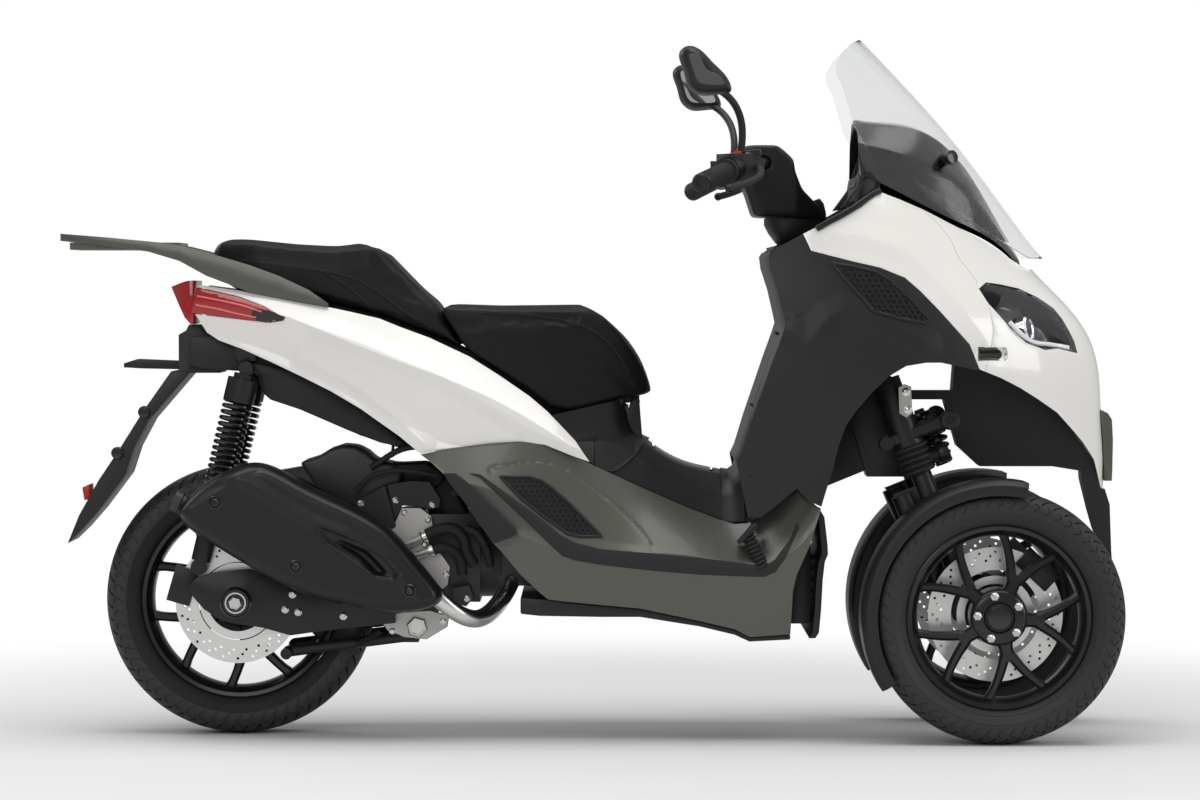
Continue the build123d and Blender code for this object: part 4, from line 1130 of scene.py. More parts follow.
for side, word in sides:
    build("lampBowl" + word, faced(lampBowl(side)), "gloss", "chassis")
    spot, facing = bowlPoint(*lamp["projector"], side)
    aim = (facing + Vector((1.2, 0, 0))).normalized()
    bm = turned(bmesh.new(), lamp["ringRows"], spot, aim)
    build("lampRing" + word, faced(bm), "chrome", "chassis")
    bm = turned(bmesh.new(), lamp["bulbRows"], spot, aim)
    build("lampBulb" + word, faced(bm), "lens", "chassis")
    bm = turned(bmesh.new(), lamp["reflectorRows"], bowlPoint(*lamp["reflector"], side)[0], aim)
    build("lampReflector" + word, faced(bm), "chrome", "chassis")
    path = smoothPath([bowlPoint(x, z, side, lamp["stripLift"])[0] for x, z in lamp["strip"]], 6)
    bm = sweepInto(bmesh.new(), path, circle(lamp["stripRadius"], 10), (0, 1, 0))
    build("lampStrip" + word, faced(bm), "glow", "chassis")
print("headlamps")


# tail lamp: bright lines on the red and a dark indicator at its tip
tailLamp = {
    "lines": ([(-760, 852), (-716, 844), (-668, 834), (-626, 821)],
              [(-756, 834), (-716, 827), (-672, 817), (-637, 810)]),
    "bead": 1.6, "beadLift": 0.6, "grid": 4.0, "lift": 1.3, "spare": 140,
    "indicator": [(-641, 827), (-614, 823), (-580, 811), (-584, 804), (-611, 800), (-636, 804), (-647, 815)],
}


def tailIndicator(side, panel):
    bm = denser(flatFace(tailLamp["indicator"]), tailLamp["grid"])
    lift = tailLamp["lift"]
    for v in bm.verts:
        x, z = v.co.x / mm, v.co.z / mm
        spot = onSkin(made["tail_lamp"], x, z, side, lift) or onSkin(panel, x, z, side, lift)
        if spot:
            v.co = spot[0] * mm
        else:
            v.co.y = side * tailLamp["spare"] * mm
    return bm


for side, word in sides:
    for n, line in enumerate(tailLamp["lines"]):
        seam("tailLine%d" % n + word, made["tail_lamp"], line, tailLamp["bead"], "glowRed", "chassis",
             tailLamp["beadLift"], side)
    bm = tailIndicator(side, made["tail_panel_" + word.lower()])
    build("tailIndicator" + word, faced(bm), "gloss", "chassis")
print("tail lamp")


# silencer cover, pressed from a finer copy of its solid: hollows go in, the band stands out, the seam is fine
silencer = {
    "voxel": 3.6, "soften": 2, "outer": -190,
    "hollows": (([(-530, 425), (-484, 410), (-429, 388), (-386, 359), (-354, 323), (-371, 312), (-405, 317),
                  (-454, 350), (-500, 382)], 9.0, 9.0),
                ([(-492, 395), (-454, 382), (-422, 369), (-401, 348), (-380, 323), (-405, 321), (-435, 352),
                  (-464, 372)], 14.0, 6.0)),
    "lines": (([(-706, 507), (-672, 509), (-623, 484), (-566, 446), (-528, 425), (-462, 399), (-386, 352),
                (-320, 276)], -4.0, 16),
              ([(-752, 456), (-718, 480), (-676, 503), (-619, 522)], 2.0, 4)),
    "screws": [(-708, 460), (-555, 338), (-339, 293)],
    "tip": (-776, -195, 456), "tipAim": (-0.91, 0, 0.40),
    "tipRows": [(20, 0), (22, 2), (22, 16), (19, 17), (17, 15), (16, -20), (0, -20)],
}


def pressedCan():
    piece = build("silencer", merged("silencer"), "satin", "chassis", 180, ("silencer",))
    voxels(piece, silencer["voxel"])
    mesh = applied(piece)
    bm = bmesh.new()
    bm.from_mesh(mesh)
    evened(bm, silencer["soften"])
    for v in [v for v in bm.verts if v.co.y < silencer["outer"] * mm]:
        x, z = v.co.x / mm, v.co.z / mm
        move = sum(pressedIn(points, x, z, depth, soft) for points, depth, soft in silencer["hollows"])
        for points, depth, soft in silencer["lines"]:
            move += depth * max(0.0, 1 - lineGap(points, x, z) / soft)
        v.co.y += move * mm
    bm.to_mesh(mesh)
    bm.free()
    dressed(mesh, "satin")
    return piece


can = pressedCan()
for n, (x, z) in enumerate(silencer["screws"]):
    spot, facing = onSkin(can, x, z, -1)
    bm = turned(bmesh.new(), [(13, -2), (13, 1.4), (11, 2.2), (9.5, 1.0), (9.5, -1)], spot, facing, 28)
    turned(bm, [(6.5, -1), (6.5, 4), (5.5, 5), (3.2, 5), (3.0, 2.5), (0, 2.5)], spot, facing, 18)
    build("canScrew%d" % n, faced(bm), "gloss", "chassis")
bm = turned(bmesh.new(), silencer["tipRows"], silencer["tip"], silencer["tipAim"])
build("canTip", faced(bm), "dark", "chassis")
print("silencer")


# engine side between the silencer and the skirt: covers as (outline, thickness, skin)
sideAt = -92
covers = {
    "engineCoverRear": ([(-456, 453), (-392, 488), (-381, 449), (-371, 407), (-387, 394), (-437, 428)], 14,
                        "black"),
    "engineCoverTop": ([(-390, 488), (-344, 496), (-306, 494), (-285, 461), (-286, 444), (-308, 440),
                        (-333, 447), (-360, 447), (-375, 420)], 18, "black"),
    "crankCover": ([(-362, 444), (-325, 444), (-304, 428), (-300, 403), (-310, 370), (-283, 351), (-267, 328),
                    (-271, 293), (-288, 282), (-325, 320), (-367, 378), (-381, 401)], 12, "cast"),
    "sumpCover": ([(-406, 232), (-363, 241), (-306, 245), (-269, 234), (-273, 213), (-313, 189), (-356, 193),
                   (-390, 207)], 16, "cast"),
    "mountPlate": ([(-263, 290), (-229, 295), (-221, 272), (-236, 253), (-263, 259)], 22, "dark"),
}
engineBolts = {
    "crankCover": [(-356, 434), (-310, 420), (-317, 372), (-275, 315), (-356, 370)],
    "sumpCover": [(-394, 224), (-379, 205), (-281, 224)],
    "engineCoverTop": [(-373, 457), (-302, 449)],
    "engineCoverRear": [(-440, 451)],
    "mountPlate": [(-234, 268)],
}
drain = (-331, 213)
waterPipes = [[(-367, -106, 367), (-340, -112, 376), (-317, -116, 388)],
              [(-350, -106, 343), (-325, -112, 353), (-304, -116, 361)]]
waterHoses = [
    ([(-321, -116, 386), (-294, -119, 400), (-263, -118, 404), (-242, -112, 386), (-236, -104, 359),
      (-221, -98, 333)], 11, 16),
    ([(-307, -116, 359), (-282, -118, 367), (-263, -114, 361), (-248, -106, 344), (-244, -98, 315)], 10, 16),
    ([(-448, -100, 475), (-421, -108, 502), (-378, -112, 515), (-334, -112, 513), (-294, -106, 506)], 5, 10),
]
hoseClips = [((-315, -117, 388), (0.9, -0.1, 0.4)), ((-302, -117, 361), (0.9, -0.1, 0.35))]


def plateInto(bm, points, y, thick, cut=2.5):
    # flat cover with a chamfered edge, outer face towards -Y
    mx = sum(p[0] for p in points) / len(points)
    mz = sum(p[1] for p in points) / len(points)
    size = max(math.hypot(x - mx, z - mz) for x, z in points)
    rings = []
    for back, shrink in ((0.0, 0.0), (thick - cut, 0.0), (thick, cut)):
        keep = 1 - shrink / size
        rings.append([point(bm, (mx + (x - mx) * keep, y - back, mz + (z - mz) * keep)) for x, z in points])
    return closedInto(bm, rings)


def boltUnit(radius, deep):
    rows = [(1.35, 0), (1.35, 0.22), (1.1, 0.3), (1.02, 0.35), (1, 0.9), (0.85, 1), (0, 1)]
    return unitMesh("bolt", capInto(bmesh.new(), [(radius * r, -deep * w) for r, w in rows], (0, 0, 0), 12))


for label, (line, thick, skin) in covers.items():
    bm = plateInto(bmesh.new(), line, sideAt, thick)
    build(label, faced(bm), skin, "chassis", 25)
spots = [((x, sideAt - covers[label][1], z), (0, 0, 0))
         for label, line in engineBolts.items() for x, z in line]
repeated("engineBolts", boltUnit(4.6, 6.0), spots, "steel", "chassis")
bm = turned(bmesh.new(), [(21, 0), (21, 5), (18, 8), (15, 8), (14, 6), (0, 6)],
            (drain[0], sideAt - covers["sumpCover"][1], drain[1]), (0, -1, 0), 6)
build("drainPlug", faced(bm), "steel", "chassis")
bm = bmesh.new()
for line in waterPipes:
    tubeInto(bm, line, 8.5, 16)
build("waterPipes", faced(bm), "cast", "chassis")
bm = bmesh.new()
for line, radius, count in waterHoses:
    tubeInto(bm, line, radius, count)
build("waterHoses", faced(bm), "rubber", "chassis")
bm = bmesh.new()
for place, ahead in hoseClips:
    turned(bm, [(11.4, -4), (12.4, -4), (12.4, 4), (11.4, 4)], place, ahead, 24)
build("hoseClips", faced(bm), "steel", "chassis")


# rear hub, swing-arm bolts and the stand spring
rearHub = {"place": (-678, -140, 262),
           "cap": [(31, 0), (31, 4), (27, 7), (25, 5), (22, 5), (20, 9), (12, 10), (0, 10)],
           "ring": [(20.5, 9.2), (20.5, 10.4), (17.5, 10.4), (17.5, 9.2)],
           "nut": [(13, 9.5), (13, 15), (11, 16.5), (0, 16.5)]}
swingArmBolts = {"y": -126.2, "places": [(-584, 248), (-570, 277), (-559, 243), (-472, 235)]}
standSpring = {"ends": ((-402, -100, 204), (-449, -100, 179)), "coil": 7, "wire": 1.8, "turns": 12}
bm = turned(bmesh.new(), rearHub["cap"], rearHub["place"], (0, -1, 0), 40)
build("rearHubCap", faced(bm), "gloss", "chassis")
bm = turned(bmesh.new(), rearHub["ring"], rearHub["place"], (0, -1, 0), 40)
turned(bm, rearHub["nut"], rearHub["place"], (0, -1, 0), 6)
build("rearHubNut", faced(bm), "steel", "chassis")
spots = [((x, swingArmBolts["y"], z), (0, 0, 0)) for x, z in swingArmBolts["places"]]
repeated("swingArmBolts", boltUnit(5.4, 7.0), spots, "steel", "chassis")
bm = coilInto(bmesh.new(), *standSpring["ends"], standSpring["coil"], standSpring["wire"],
              standSpring["turns"], 10)
build("standSpring", faced(bm), "frame", "chassis")
print("engine side")


# closed shell from a grid of points in mm, thickened away from the side that shows
def shellInto(bm, grid, thick):
    rows, cols = len(grid), len(grid[0])
    inner = []
    for i in range(rows):
        line = []
        for j in range(cols):
            across = grid[i][min(j + 1, cols - 1)] - grid[i][max(j - 1, 0)]
            down = grid[min(i + 1, rows - 1)][j] - grid[max(i - 1, 0)][j]
            line.append(grid[i][j] + across.cross(down).normalized() * thick)
        inner.append(line)
    outs = [[point(bm, p) for p in row] for row in grid]
    ins = [[point(bm, p) for p in row] for row in inner]
    for i in range(rows - 1):
        for j in range(cols - 1):
            bm.faces.new((outs[i][j], outs[i][j + 1], outs[i + 1][j + 1], outs[i + 1][j]))
            bm.faces.new((ins[i][j], ins[i + 1][j], ins[i + 1][j + 1], ins[i][j + 1]))
    for i in range(rows - 1):
        for j in (0, cols - 1):
            bm.faces.new((outs[i][j], outs[i + 1][j], ins[i + 1][j], ins[i][j]))
    for j in range(cols - 1):
        for i in (0, rows - 1):
            bm.faces.new((outs[i][j], ins[i][j], ins[i][j + 1], outs[i][j + 1]))
    return faced(bm)


def bothSides(points):
    # right-hand points carried over to the left, middle point last
    return [(x, -y, z) for x, y, z in points] + [(x, y, z) for x, y, z in reversed(points[:-1])]


# the tunnel's riser under the seat, and the bend up into the leg shield, as right-hand points in mm
riser = {
    "top": [(-76, 146, 622), (-24, 133, 633), (26, 116, 644), (56, 97, 648), (72, 62, 640), (77, 0, 639)],
    "low": [(-76, 173, 568), (-4, 178, 537), (44, 169, 516), (84, 142, 541), (106, 92, 566), (118, 0, 575)],
    "rows": 12, "lean": 0.2, "thick": 3.0,
}
# rows of (x, peak, foot, half width)
bend = {"rows": [(256, 513, 420, 134), (270, 511, 418, 135), (282, 519, 417, 138), (292, 540, 418, 143),
                 (300, 566, 419, 148)], "thick": -3.0}
kneeWall = {"outline": [(285, 540), (290, 540), (312, 424), (307, 422)], "half": 194}


def seatRiser():
    top, low = [smoothPath(bothSides(riser[edge]), 6) for edge in ("top", "low")]
    grid = []
    for i in range(riser["rows"] + 1):
        t = i / riser["rows"]
        row = []
        for a, b in zip(top, low):
            pull = Vector((a.x, a.y, b.z + riser["lean"] * (a.z - b.z)))
            row.append(a * (1 - t) ** 2 + pull * 2 * t * (1 - t) + b * t * t)
        grid.append(row)
    return shellInto(bmesh.new(), grid, riser["thick"])


def tunnelBend():
    grid = []
    for x, peak, foot, half in bend["rows"]:
        arch = [(x, half, foot), (x, 0.88 * half, foot + 0.55 * (peak - foot)), (x, 0.5 * half, peak - 8),
                (x, 0, peak)]
        grid.append(smoothPath(bothSides(arch), 5))
    return shellInto(bmesh.new(), grid, bend["thick"])


build("seatRiser", seatRiser(), "black", "chassis")
build("tunnelBend", tunnelBend(), "black", "chassis")
bm = outlineInto(bmesh.new(), kneeWall["outline"], -kneeWall["half"], kneeWall["half"])
build("kneeWall", faced(bm), "black", "chassis")


# brake pedal on the right floor, with its bellows
pedal = {"outline": [(281, 384), (286, 379), (322, 415), (320, 423), (314, 422)], "across": (-247, -203),
         "bellows": ((331, -240, 334), (300, -226, 400)), "radius": 14.0, "ribs": 9, "deep": 4.0}


def bellowsInto(bm, a, b, radius, ribs, deep):
    a, b = Vector(a), Vector(b)
    length = (b - a).length
    rows = [(0, 0), (radius - deep, 0)]
    for i in range(ribs):
        s = length * (i + 0.5) / ribs
        rows += [(radius, s - 0.18 * length / ribs), (radius, s + 0.18 * length / ribs),
                 (radius - deep, length * (i + 1) / ribs)]
    return turned(bm, rows + [(0, length)], a, b - a, 24)


def blockOf(outline, across, edge, angle=32.0, steps=2):
    # side-view outline carried across, with rounded edges
    return rounded(faced(outlineInto(bmesh.new(), outline, *across)), edge, angle, steps)


bm = bellowsInto(bmesh.new(), *pedal["bellows"], pedal["radius"], pedal["ribs"], pedal["deep"])
build("pedalBellows", faced(bm), "rubber", "chassis")
build("pedalPad", blockOf(pedal["outline"], pedal["across"], 2.0), "satin", "chassis")


# steering neck under the cowl: round about the steering line, so it turns in place
neck = {"from": (363, 0, 1107), "down": (0.37, 0, -1),
        "rows": [(0, 92), (58, 92), (62, 104), (60, 122), (54, 142), (46, 158), (40, 160), (0, 160)]}
bm = turned(bmesh.new(), neck["rows"], neck["from"], neck["down"], 48)
build("steeringNeck", faced(bm), "black", "handlebar", 50)


# grips with ribs and a collar, bar ends, lever balls, switches, reservoirs and mirrors
grip = {"end": (212, -374, 1063), "middle": (240, -316, 1078), "root": (265, -262, 1089), "core": 17.3,
        "rib": 18.6, "ribs": 13, "first": 6, "plain": 22, "collar": 23}
lever = {"ball": (262, -378, 1052), "aim": (-0.6, -0.75, -0.3)}
switch = {"line": [(262, -262, 1088), (276, -236, 1094), (296, -200, 1099)], "radius": 26}
fluid = {"outline": [(288, 1112), (290, 1126), (326, 1130), (328, 1114), (318, 1106)], "across": (-232, -184)}
stop = {"outline": [(262, 1113), (266, 1121), (288, 1126), (291, 1118)], "across": (-250, -234)}
mirror = {"edge": [(174, 1312), (190, 1318), (205, 1313), (232, 1287), (262, 1253), (266, 1234), (240, 1227),
                   (205, 1227), (187, 1241), (176, 1275)],
          "glassIn": 15, "glass": (-311.2, -313),
          "back": ((17, -394), (18, -398.6), (20, -399.4), (23, -399.6))}


def barEnd():
    rows = [(0, -2), (17.5, -2), (18.5, 0), (18.5, 6), (16, 9), (7, 9.5), (6, 7.5), (0, 7.5)]
    return turned(bmesh.new(), rows, grip["end"], Vector(grip["end"]) - Vector(grip["middle"]), 36)


def gripSleeve():
    line = Vector(grip["root"]) - Vector(grip["end"])
    length, core, rib = line.length, grip["core"], grip["rib"]
    step = (length - grip["plain"]) / grip["ribs"]
    rows = [(0, 0), (core - 0.1, 0)]
    for i in range(grip["ribs"]):
        s = grip["first"] + step * i
        rows += [(core, s), (rib, s + 0.8), (rib, s + 0.62 * step), (core, s + 0.72 * step)]
    rows += [(core, length - 15), (grip["collar"], length - 14), (grip["collar"], length - 6),
             (core, length - 5)]
    return turned(bmesh.new(), rows + [(0, length - 5)], grip["end"], line, 32)


def leverBall():
    rows = [(0, -8), (5, -6.8), (8, -2.5), (8, 2.5), (5, 6.8), (0, 8)]
    return turned(bmesh.new(), rows, lever["ball"], lever["aim"], 20)


def switchCase():
    return tubeInto(bmesh.new(), switch["line"], switch["radius"], 20, 4)


def reservoir():
    return blockOf(fluid["outline"], fluid["across"], 4.0)


paired("barEnd", barEnd, "satin", "handlebar")
paired("gripSleeve", gripSleeve, "rubber", "handlebar")
paired("leverBall", leverBall, "satin", "handlebar")
paired("switchCase", switchCase, "satin", "handlebar")
paired("reservoir", reservoir, "gloss", "handlebar")
build("stopSwitch", blockOf(stop["outline"], stop["across"], 1.5), "redPart", "handlebar")


def shrunk(points, by):
    # outline drawn in toward its middle by so many mm
    mx = sum(p[0] for p in points) / len(points)
    mz = sum(p[1] for p in points) / len(points)
    drawn = []
    for x, z in points:
        far = math.hypot(x - mx, z - mz)
        drawn.append((mx + (x - mx) * (far - by) / far, mz + (z - mz) * (far - by) / far))
    return drawn


def rounder(points, steps=5):
    # closed outline with its corners drawn as curves
    loop = points[-2:] + points + points[:3]
    path = smoothPath([(x, 0, z) for x, z in loop], steps)
    return [(p[0], p[2]) for p in path[2 * steps:(2 + len(points)) * steps]]


def mirrorGlass():
    return outlineInto(bmesh.new(), rounder(shrunk(mirror["edge"], mirror["glassIn"])), *mirror["glass"])


def mirrorBack():
    bm = bmesh.new()
    return closedInto(bm, [[point(bm, (x, y, z)) for x, z in rounder(shrunk(mirror["edge"], by))]
                           for by, y in mirror["back"]])


paired("mirrorGlass", mirrorGlass, "mirror", "handlebar", 20)
paired("mirrorBack", mirrorBack, "slate", "handlebar", 30)
print("controls")


# handlebar cowl, made round by voxels and smoothing
cowl = {"voxel": 3.6, "rounds": 26}


def softened(node, skin):
    piece = build(camel(node), merged(node), skin, nodes[node]["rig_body"], 180, (node,))
    voxels(piece, cowl["voxel"]).use_smooth_shade = True
    even = piece.modifiers.new("even", "SMOOTH")
    even.factor = 0.5
    even.iterations = cowl["rounds"]
    dressed(applied(piece), skin)
    return piece


softened("handlebar_cowl", "satin")


# keel under the nose: the wall is opened behind the fork legs, the fin takes the grey paint
keel = {"finFrom": (992, 487), "opening": [(570, 667), (570, 800), (716, 800), (706, 667)], "half": 80}


def keelPart(isFin):
    bm = merged("nose_keel")
    gone = []
    for face in bm.faces:
        middle = face.calc_center_median() / mm
        if (middle.x > keel["finFrom"][0] and middle.z > keel["finFrom"][1]) != isFin:
            gone.append(face)
    bmesh.ops.delete(bm, geom=gone, context="FACES")
    return bm


build("noseFin", rounded(keelPart(True), 1.5), "grey", "chassis")
wall = build("noseKeel", keelPart(False), "black", "chassis", node=("nose_keel",))
carved(wall, faced(outlineInto(bmesh.new(), keel["opening"], -keel["half"], keel["half"])))


# dark parts that fill the engine bay and the tail's underside: (outline, across, skin, edge); the throttle
# body and engine core blocks take painted shade for the shaded depth of the bay
fills = {
    "airBox": ([(-559, 530), (-525, 540), (-501, 555), (-476, 563), (-449, 561), (-428, 549), (-412, 534),
                (-381, 528), (-358, 515), (-362, 484), (-404, 457), (-463, 445), (-525, 480)],
               (-92, 60), "dark", 9.0),
    # block for the throttle body, coloured in painted shade
    "throttleBody": ([(-413, 529), (-363, 527), (-316, 529), (-293, 518), (-277, 502), (-289, 483),
                      (-328, 471), (-371, 483)], (-70, 40), "deep", 6.0),
    # block for the engine core, coloured in painted shade
    "engineCore": ([(-328, 498), (-277, 506), (-254, 471), (-227, 413), (-208, 362), (-215, 327), (-258, 316),
                    (-297, 378)], (-60, 60), "deep", 6.0),
    "tailUnder": ([(-772, 774), (-772, 716), (-726, 710), (-676, 706), (-641, 702), (-629, 668), (-538, 629),
                   (-443, 582), (-358, 555), (-435, 635), (-554, 700), (-703, 770)], (-84, 84), "black", 4.0),
}
for name, (outline, across, skin, edge) in fills.items():
    build(name, blockOf(outline, across, edge, 25.0, 3), skin, "chassis")


# cables and pipes in the bay: (route, radius, skin)
bayLines = {
    "bayCable": ([(-386, -70, 575), (-372, -84, 606), (-334, -92, 610), (-296, -88, 588), (-262, -80, 566)],
                 3.4, "rubber"),
    "bayPipe": ([(-420, -96, 520), (-360, -104, 556), (-300, -104, 560), (-250, -98, 548), (-205, -92, 520)],
                6.0, "rubber"),
    "bayRod": ([(-372, -78, 640), (-374, -84, 600), (-380, -90, 540)], 3.0, "satin"),
    "coolantHose": ([(-262, -112, 470), (-236, -122, 486), (-214, -112, 470), (-206, -96, 430)], 9.0,
                    "rubber"),
    "sideHose": ([(-236, -118, 405), (-212, -122, 392), (-196, -110, 360), (-190, -96, 330)], 8.0, "rubber"),
}
for name, (route, radius, skin) in bayLines.items():
    bm = tubeInto(bmesh.new(), route, radius, 12, 6, (0, 1, 0.02))
    build(name, faced(bm), skin, "chassis")


# dash wings beside the screen, and the dark strip along the top of the white side
wing = {"outline": [(481, 1018), (516, 1066), (543, 1101), (560, 1089), (556, 1053), (512, 1024)],
        "across": (-160, -126), "edge": 3.0,
        "face": [(497, 1030), (523, 1068), (543, 1089), (550, 1082), (546, 1059), (514, 1034)],
        "faceAcross": (-161.2, -158)}
strip = {"line": [(407, 966), (431, 979), (456, 993), (481, 1006), (504, 1020), (521, 1033), (538, 1044),
                  (555, 1052)],
         "below": 9, "raise": 8, "lift": 0.4}


def dashWing():
    return blockOf(wing["outline"], wing["across"], wing["edge"])


def dashWingFace():
    return outlineInto(bmesh.new(), wing["face"], *wing["faceAcross"])


paired("dashWing", dashWing, "black", "chassis")
paired("dashWingFace", dashWingFace, "slate", "chassis")
for side, word in sides:
    fairing = made["fairing_" + word.lower()]
    spots = [onSkin(fairing, x, z - strip["below"], side, strip["lift"]) for x, z in strip["line"]]
    path = [spot[0] + Vector((0, 0, strip["raise"])) for spot in spots if spot]
    bm = sweepInto(bmesh.new(), smoothPath(path, 5), slab(9, 11, 2.5), (0, 0.3, 1))
    build("topStrip" + word, faced(bm), "satin", "chassis")


# display glass in its bezel, facing the rider: outlines of (across, up the panel) in mm
display = {"low": (512, 0, 1050), "high": (542, 0, 1142), "bezelOut": 5.0, "bezelDeep": 4.0,
           "glassOut": (1.8, 0.3),
           "bezel": [(-104, 10), (-108, 40), (-100, 86), (-60, 94), (60, 94), (100, 86), (108, 40),
                     (104, 10)],
           "glass": [(-92, 18), (-96, 42), (-90, 78), (-56, 85), (56, 85), (90, 78), (96, 42), (92, 18)]}


def tilted(bm, outline, out):
    # ring of points so far out of the instrument panel's rear face
    low = Vector(display["low"])
    up = (Vector(display["high"]) - low).normalized()
    back = Vector((-up.z, 0, up.x))
    return [point(bm, low + up * v + Vector((0, u, 0)) + back * out) for u, v in outline]


def displayBezel():
    bm = bmesh.new()
    out = display["bezelOut"]
    rings = [tilted(bm, display[edge], height) for edge, height in (
        ("bezel", 0.2), ("bezel", out), ("glass", out), ("glass", out - display["bezelDeep"]))]
    return faced(bandsInto(bm, rings + rings[:1]))


def displayGlass():
    bm = bmesh.new()
    return faced(closedInto(bm, [tilted(bm, display["glass"], out) for out in display["glassOut"]]))


build("displayBezel", displayBezel(), "satin", "chassis")
build("displayGlass", displayGlass(), "glass", "chassis")


# front suspension: lock plates, tie arms, gaiters, springs and nuts
lock = {"outline": [(591, 676), (603, 683), (616, 678), (618, 626), (607, 618), (593, 626)], "y": -172,
        "thick": 4, "cut": 1.5, "nuts": ((606, 668), (610, 634))}
tie = {"line": [(566, -150, 566), (620, -158, 588), (692, -160, 615)],
       "ends": [((690, -162, 614),
                 [(0, -3), (18, -3), (19, 0), (19, 12), (16, 15), (7, 15.5), (6, 13), (0, 13)], 28),
                ((570, -156, 568), [(0, -3), (15, -3), (16, 0), (16, 8), (13, 11), (0, 11)], 24)]}
boot = {"ends": ((616, -140, 566), (636, -140, 512)), "radius": 33, "ribs": 5, "deep": 5}
frontCoil = {"ends": ((664, -126, 600), (680, -126, 530)), "radius": 17, "wire": 4, "turns": 5}


def lockPlate():
    return plateInto(bmesh.new(), lock["outline"], lock["y"], lock["thick"], lock["cut"])


def tieArm():
    bm = sweepInto(bmesh.new(), smoothPath(tie["line"], 5), slab(16, 26, 5), (0, 0.02, 1))
    for place, rows, turns in tie["ends"]:
        turned(bm, rows, place, (0, -1, 0), turns)
    return bm


def gaiter():
    return bellowsInto(bmesh.new(), *boot["ends"], boot["radius"], boot["ribs"], boot["deep"])


def frontSpring():
    return coilInto(bmesh.new(), *frontCoil["ends"], frontCoil["radius"], frontCoil["wire"],
                    frontCoil["turns"])


paired("lockPlate", lockPlate, "cast", "chassis")
paired("tieArm", tieArm, "frame", "chassis")
paired("gaiter", gaiter, "rubber", "chassis")
paired("frontSpring", frontSpring, "gloss", "chassis")
outside = lock["thick"] - lock["y"]
spots = [((x, side * outside, z), (0, 0, 90 + 90 * side)) for side, word in sides for x, z in lock["nuts"]]
repeated("susNuts", boltUnit(6.0, 6.0), spots, "steel", "chassis")


# knobs and a reflector on the plate holder
knobs = {"places": [(-858, 627), (-910, 548)],
         "rows": [(0, -4), (12, -4), (12, 5), (10, 7), (5, 7.5), (0, 7.5)]}
reflector = {"outline": [(-985, 479), (-971, 485), (-969, 456), (-981, 454)], "across": (-34, 34)}
for n, (x, z) in enumerate(knobs["places"]):
    spot = onSkin(made["plate_holder"], x, z, -1)
    if spot:
        bm = faced(turned(bmesh.new(), knobs["rows"], spot[0], (0, -1, 0), 24))
        for word, knob in (("Left", mirrored(bm)), ("Right", bm)):
            build("tailKnob%s%d" % (word, n), knob, "gloss", "chassis")
bm = blockOf(reflector["outline"], reflector["across"], 1.5)
build("tailReflector", bm, "redPart", "chassis")


# left side: fan cover, ribs and bolts on the drive case
fan = {"place": (-330, 196, 330), "ribs": 12, "circle": 54, "ribAt": 200, "rib": (36, 7, 4),
       "rows": [(0, 0), (30, 0), (34, 2), (60, 3), (72, 6), (78, 6), (82, 2), (82, -4), (0, -4)]}
caseBolts = {"y": 195, "places": [(-250, 420), (-230, 300), (-300, 240), (-420, 232), (-540, 214),
                                  (-660, 196), (-735, 236), (-738, 300), (-650, 350), (-540, 396),
                                  (-430, 436), (-340, 450)]}


def ribUnit():
    bm = bmesh.new()
    bmesh.ops.create_cube(bm, size=1.0, matrix=Matrix.Diagonal((*[c * mm for c in fan["rib"]], 1)))
    return unitMesh("fanRib", rounded(bm, 0.8))


build("fanCover", faced(turned(bmesh.new(), fan["rows"], fan["place"], (0, 1, 0), 64)), "dark", "chassis")
spots = []
for i in range(fan["ribs"]):
    turn = 360 / fan["ribs"] * i
    spots.append(((fan["place"][0] + fan["circle"] * math.cos(math.radians(turn)), fan["ribAt"],
                   fan["place"][2] + fan["circle"] * math.sin(math.radians(turn))), (0, -turn, 0)))
repeated("fanRibs", ribUnit(), spots, "dark", "chassis")
spots = [((x, caseBolts["y"], z), (0, 0, 180)) for x, z in caseBolts["places"]]
repeated("caseBolts", boltUnit(6.0, 6.0), spots, "steel", "chassis")
print("details")


# stage, light and camera, in metres
shot = {"place": (0.0215, -8.5, 0.867), "aim": (0.0215, 0.0, 0.648), "lens": 130.8, "sensor": 36.0}
studio = {"floor": (0.82, 0.82, 0.82), "rough": 0.55, "reach": 30.0, "paleTo": 1.1,
          "whiteFrom": 2.6, "fillLight": 0.34}


def aimed(piece, place, aim):
    piece.location = place
    piece.rotation_euler = (Vector(aim) - Vector(place)).to_track_quat("-Z", "Y").to_euler()
    return piece


def floorFinish():
    # pale near the wheels, the backdrop's white further out
    material = finish("floorWhite", studio["floor"], studio["rough"])
    tree = material.node_tree
    shader = tree.nodes["Principled BSDF"]
    place = tree.nodes.new("ShaderNodeTexCoord")
    reach = tree.nodes.new("ShaderNodeVectorMath")
    reach.operation = "LENGTH"
    fade = tree.nodes.new("ShaderNodeMapRange")
    fade.interpolation_type = "SMOOTHSTEP"
    fade.inputs["From Min"].default_value = studio["paleTo"]
    fade.inputs["From Max"].default_value = studio["whiteFrom"]
    seen = tree.nodes.new("ShaderNodeLightPath")
    both = tree.nodes.new("ShaderNodeMath")
    both.operation = "MULTIPLY"
    dim = tree.nodes.new("ShaderNodeMix")
    dim.data_type = "RGBA"
    dim.inputs[6].default_value = (*studio["floor"], 1.0)
    dim.inputs[7].default_value = (0.0, 0.0, 0.0, 1.0)
    shader.inputs["Emission Color"].default_value = (1.0, 1.0, 1.0, 1.0)
    shader.inputs["Specular IOR Level"].default_value = 0.0
    link = tree.links.new
    link(place.outputs["Object"], reach.inputs[0])
    link(reach.outputs["Value"], fade.inputs["Value"])
    link(fade.outputs["Result"], both.inputs[0])
    link(seen.outputs["Is Camera Ray"], both.inputs[1])
    link(both.outputs["Value"], shader.inputs["Emission Strength"])
    link(both.outputs["Value"], dim.inputs["Factor"])
    link(dim.outputs[2], shader.inputs["Base Color"])
    return material


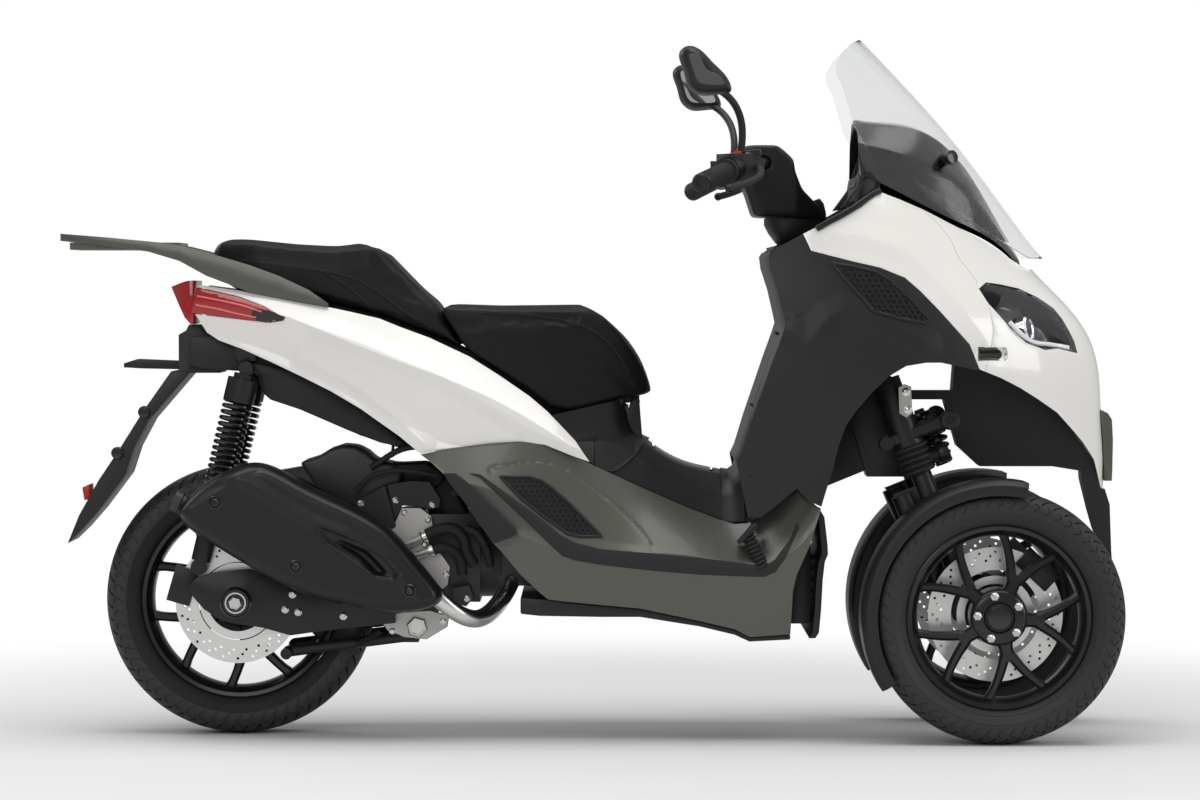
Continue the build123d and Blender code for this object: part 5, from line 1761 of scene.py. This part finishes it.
camera = bpy.data.cameras.new("shotCamera")
camera.lens = shot["lens"]
camera.sensor_width = shot["sensor"]
bpy.context.scene.camera = aimed(placed("shotCamera", camera), shot["place"], shot["aim"])

floorMesh = bpy.data.meshes.new("studioFloor")
corners = [(x * studio["reach"], y * studio["reach"], 0) for x, y in ((-1, -1), (1, -1), (1, 1), (-1, 1))]
floorMesh.from_pydata(corners, [], [(0, 1, 2, 3)])
floorMesh.materials.append(floorFinish())
placed("studioFloor", floorMesh)

# the white ground shows straight on and through the clear screen, and lights the object less
world = bpy.data.worlds.new("studioWorld")
bpy.context.scene.world = world
world.use_nodes = True
sky = world.node_tree.nodes["Background"]
sky.inputs["Color"].default_value = (1.0, 1.0, 1.0, 1.0)
rays = world.node_tree.nodes.new("ShaderNodeLightPath")
level = world.node_tree.nodes.new("ShaderNodeMapRange")
level.inputs["To Min"].default_value = studio["fillLight"]
level.inputs["To Max"].default_value = 1.0
either = world.node_tree.nodes.new("ShaderNodeMath")
either.operation = "MAXIMUM"
world.node_tree.links.new(rays.outputs["Is Camera Ray"], either.inputs[0])
world.node_tree.links.new(rays.outputs["Is Transmission Ray"], either.inputs[1])
world.node_tree.links.new(either.outputs["Value"], level.inputs["Value"])
world.node_tree.links.new(level.outputs["Result"], sky.inputs["Strength"])


# softboxes as (place, aim, size, power)
softboxes = {
    "topSoft": ((0.0, -0.4, 4.2), (0, 0, 0.4), (5.0, 3.2), 120),
    "sideSoft": ((-1.6, -4.6, 2.6), (0, 0, 0.6), (3.0, 2.0), 46),
    "frontSoft": ((4.4, -1.6, 1.8), (0.4, 0, 0.7), (1.8, 2.4), 40),
    "backSoft": ((-3.2, 2.6, 2.4), (0, 0, 0.7), (2.4, 2.0), 34),
}
for name, (place, aim, size, power) in softboxes.items():
    light = bpy.data.lights.new(name, "AREA")
    light.shape = "RECTANGLE"
    light.size, light.size_y = size
    light.energy = power
    aimed(placed(name, light), place, aim)
print("stage")

bpy.context.scene.view_settings.view_transform = "Standard"
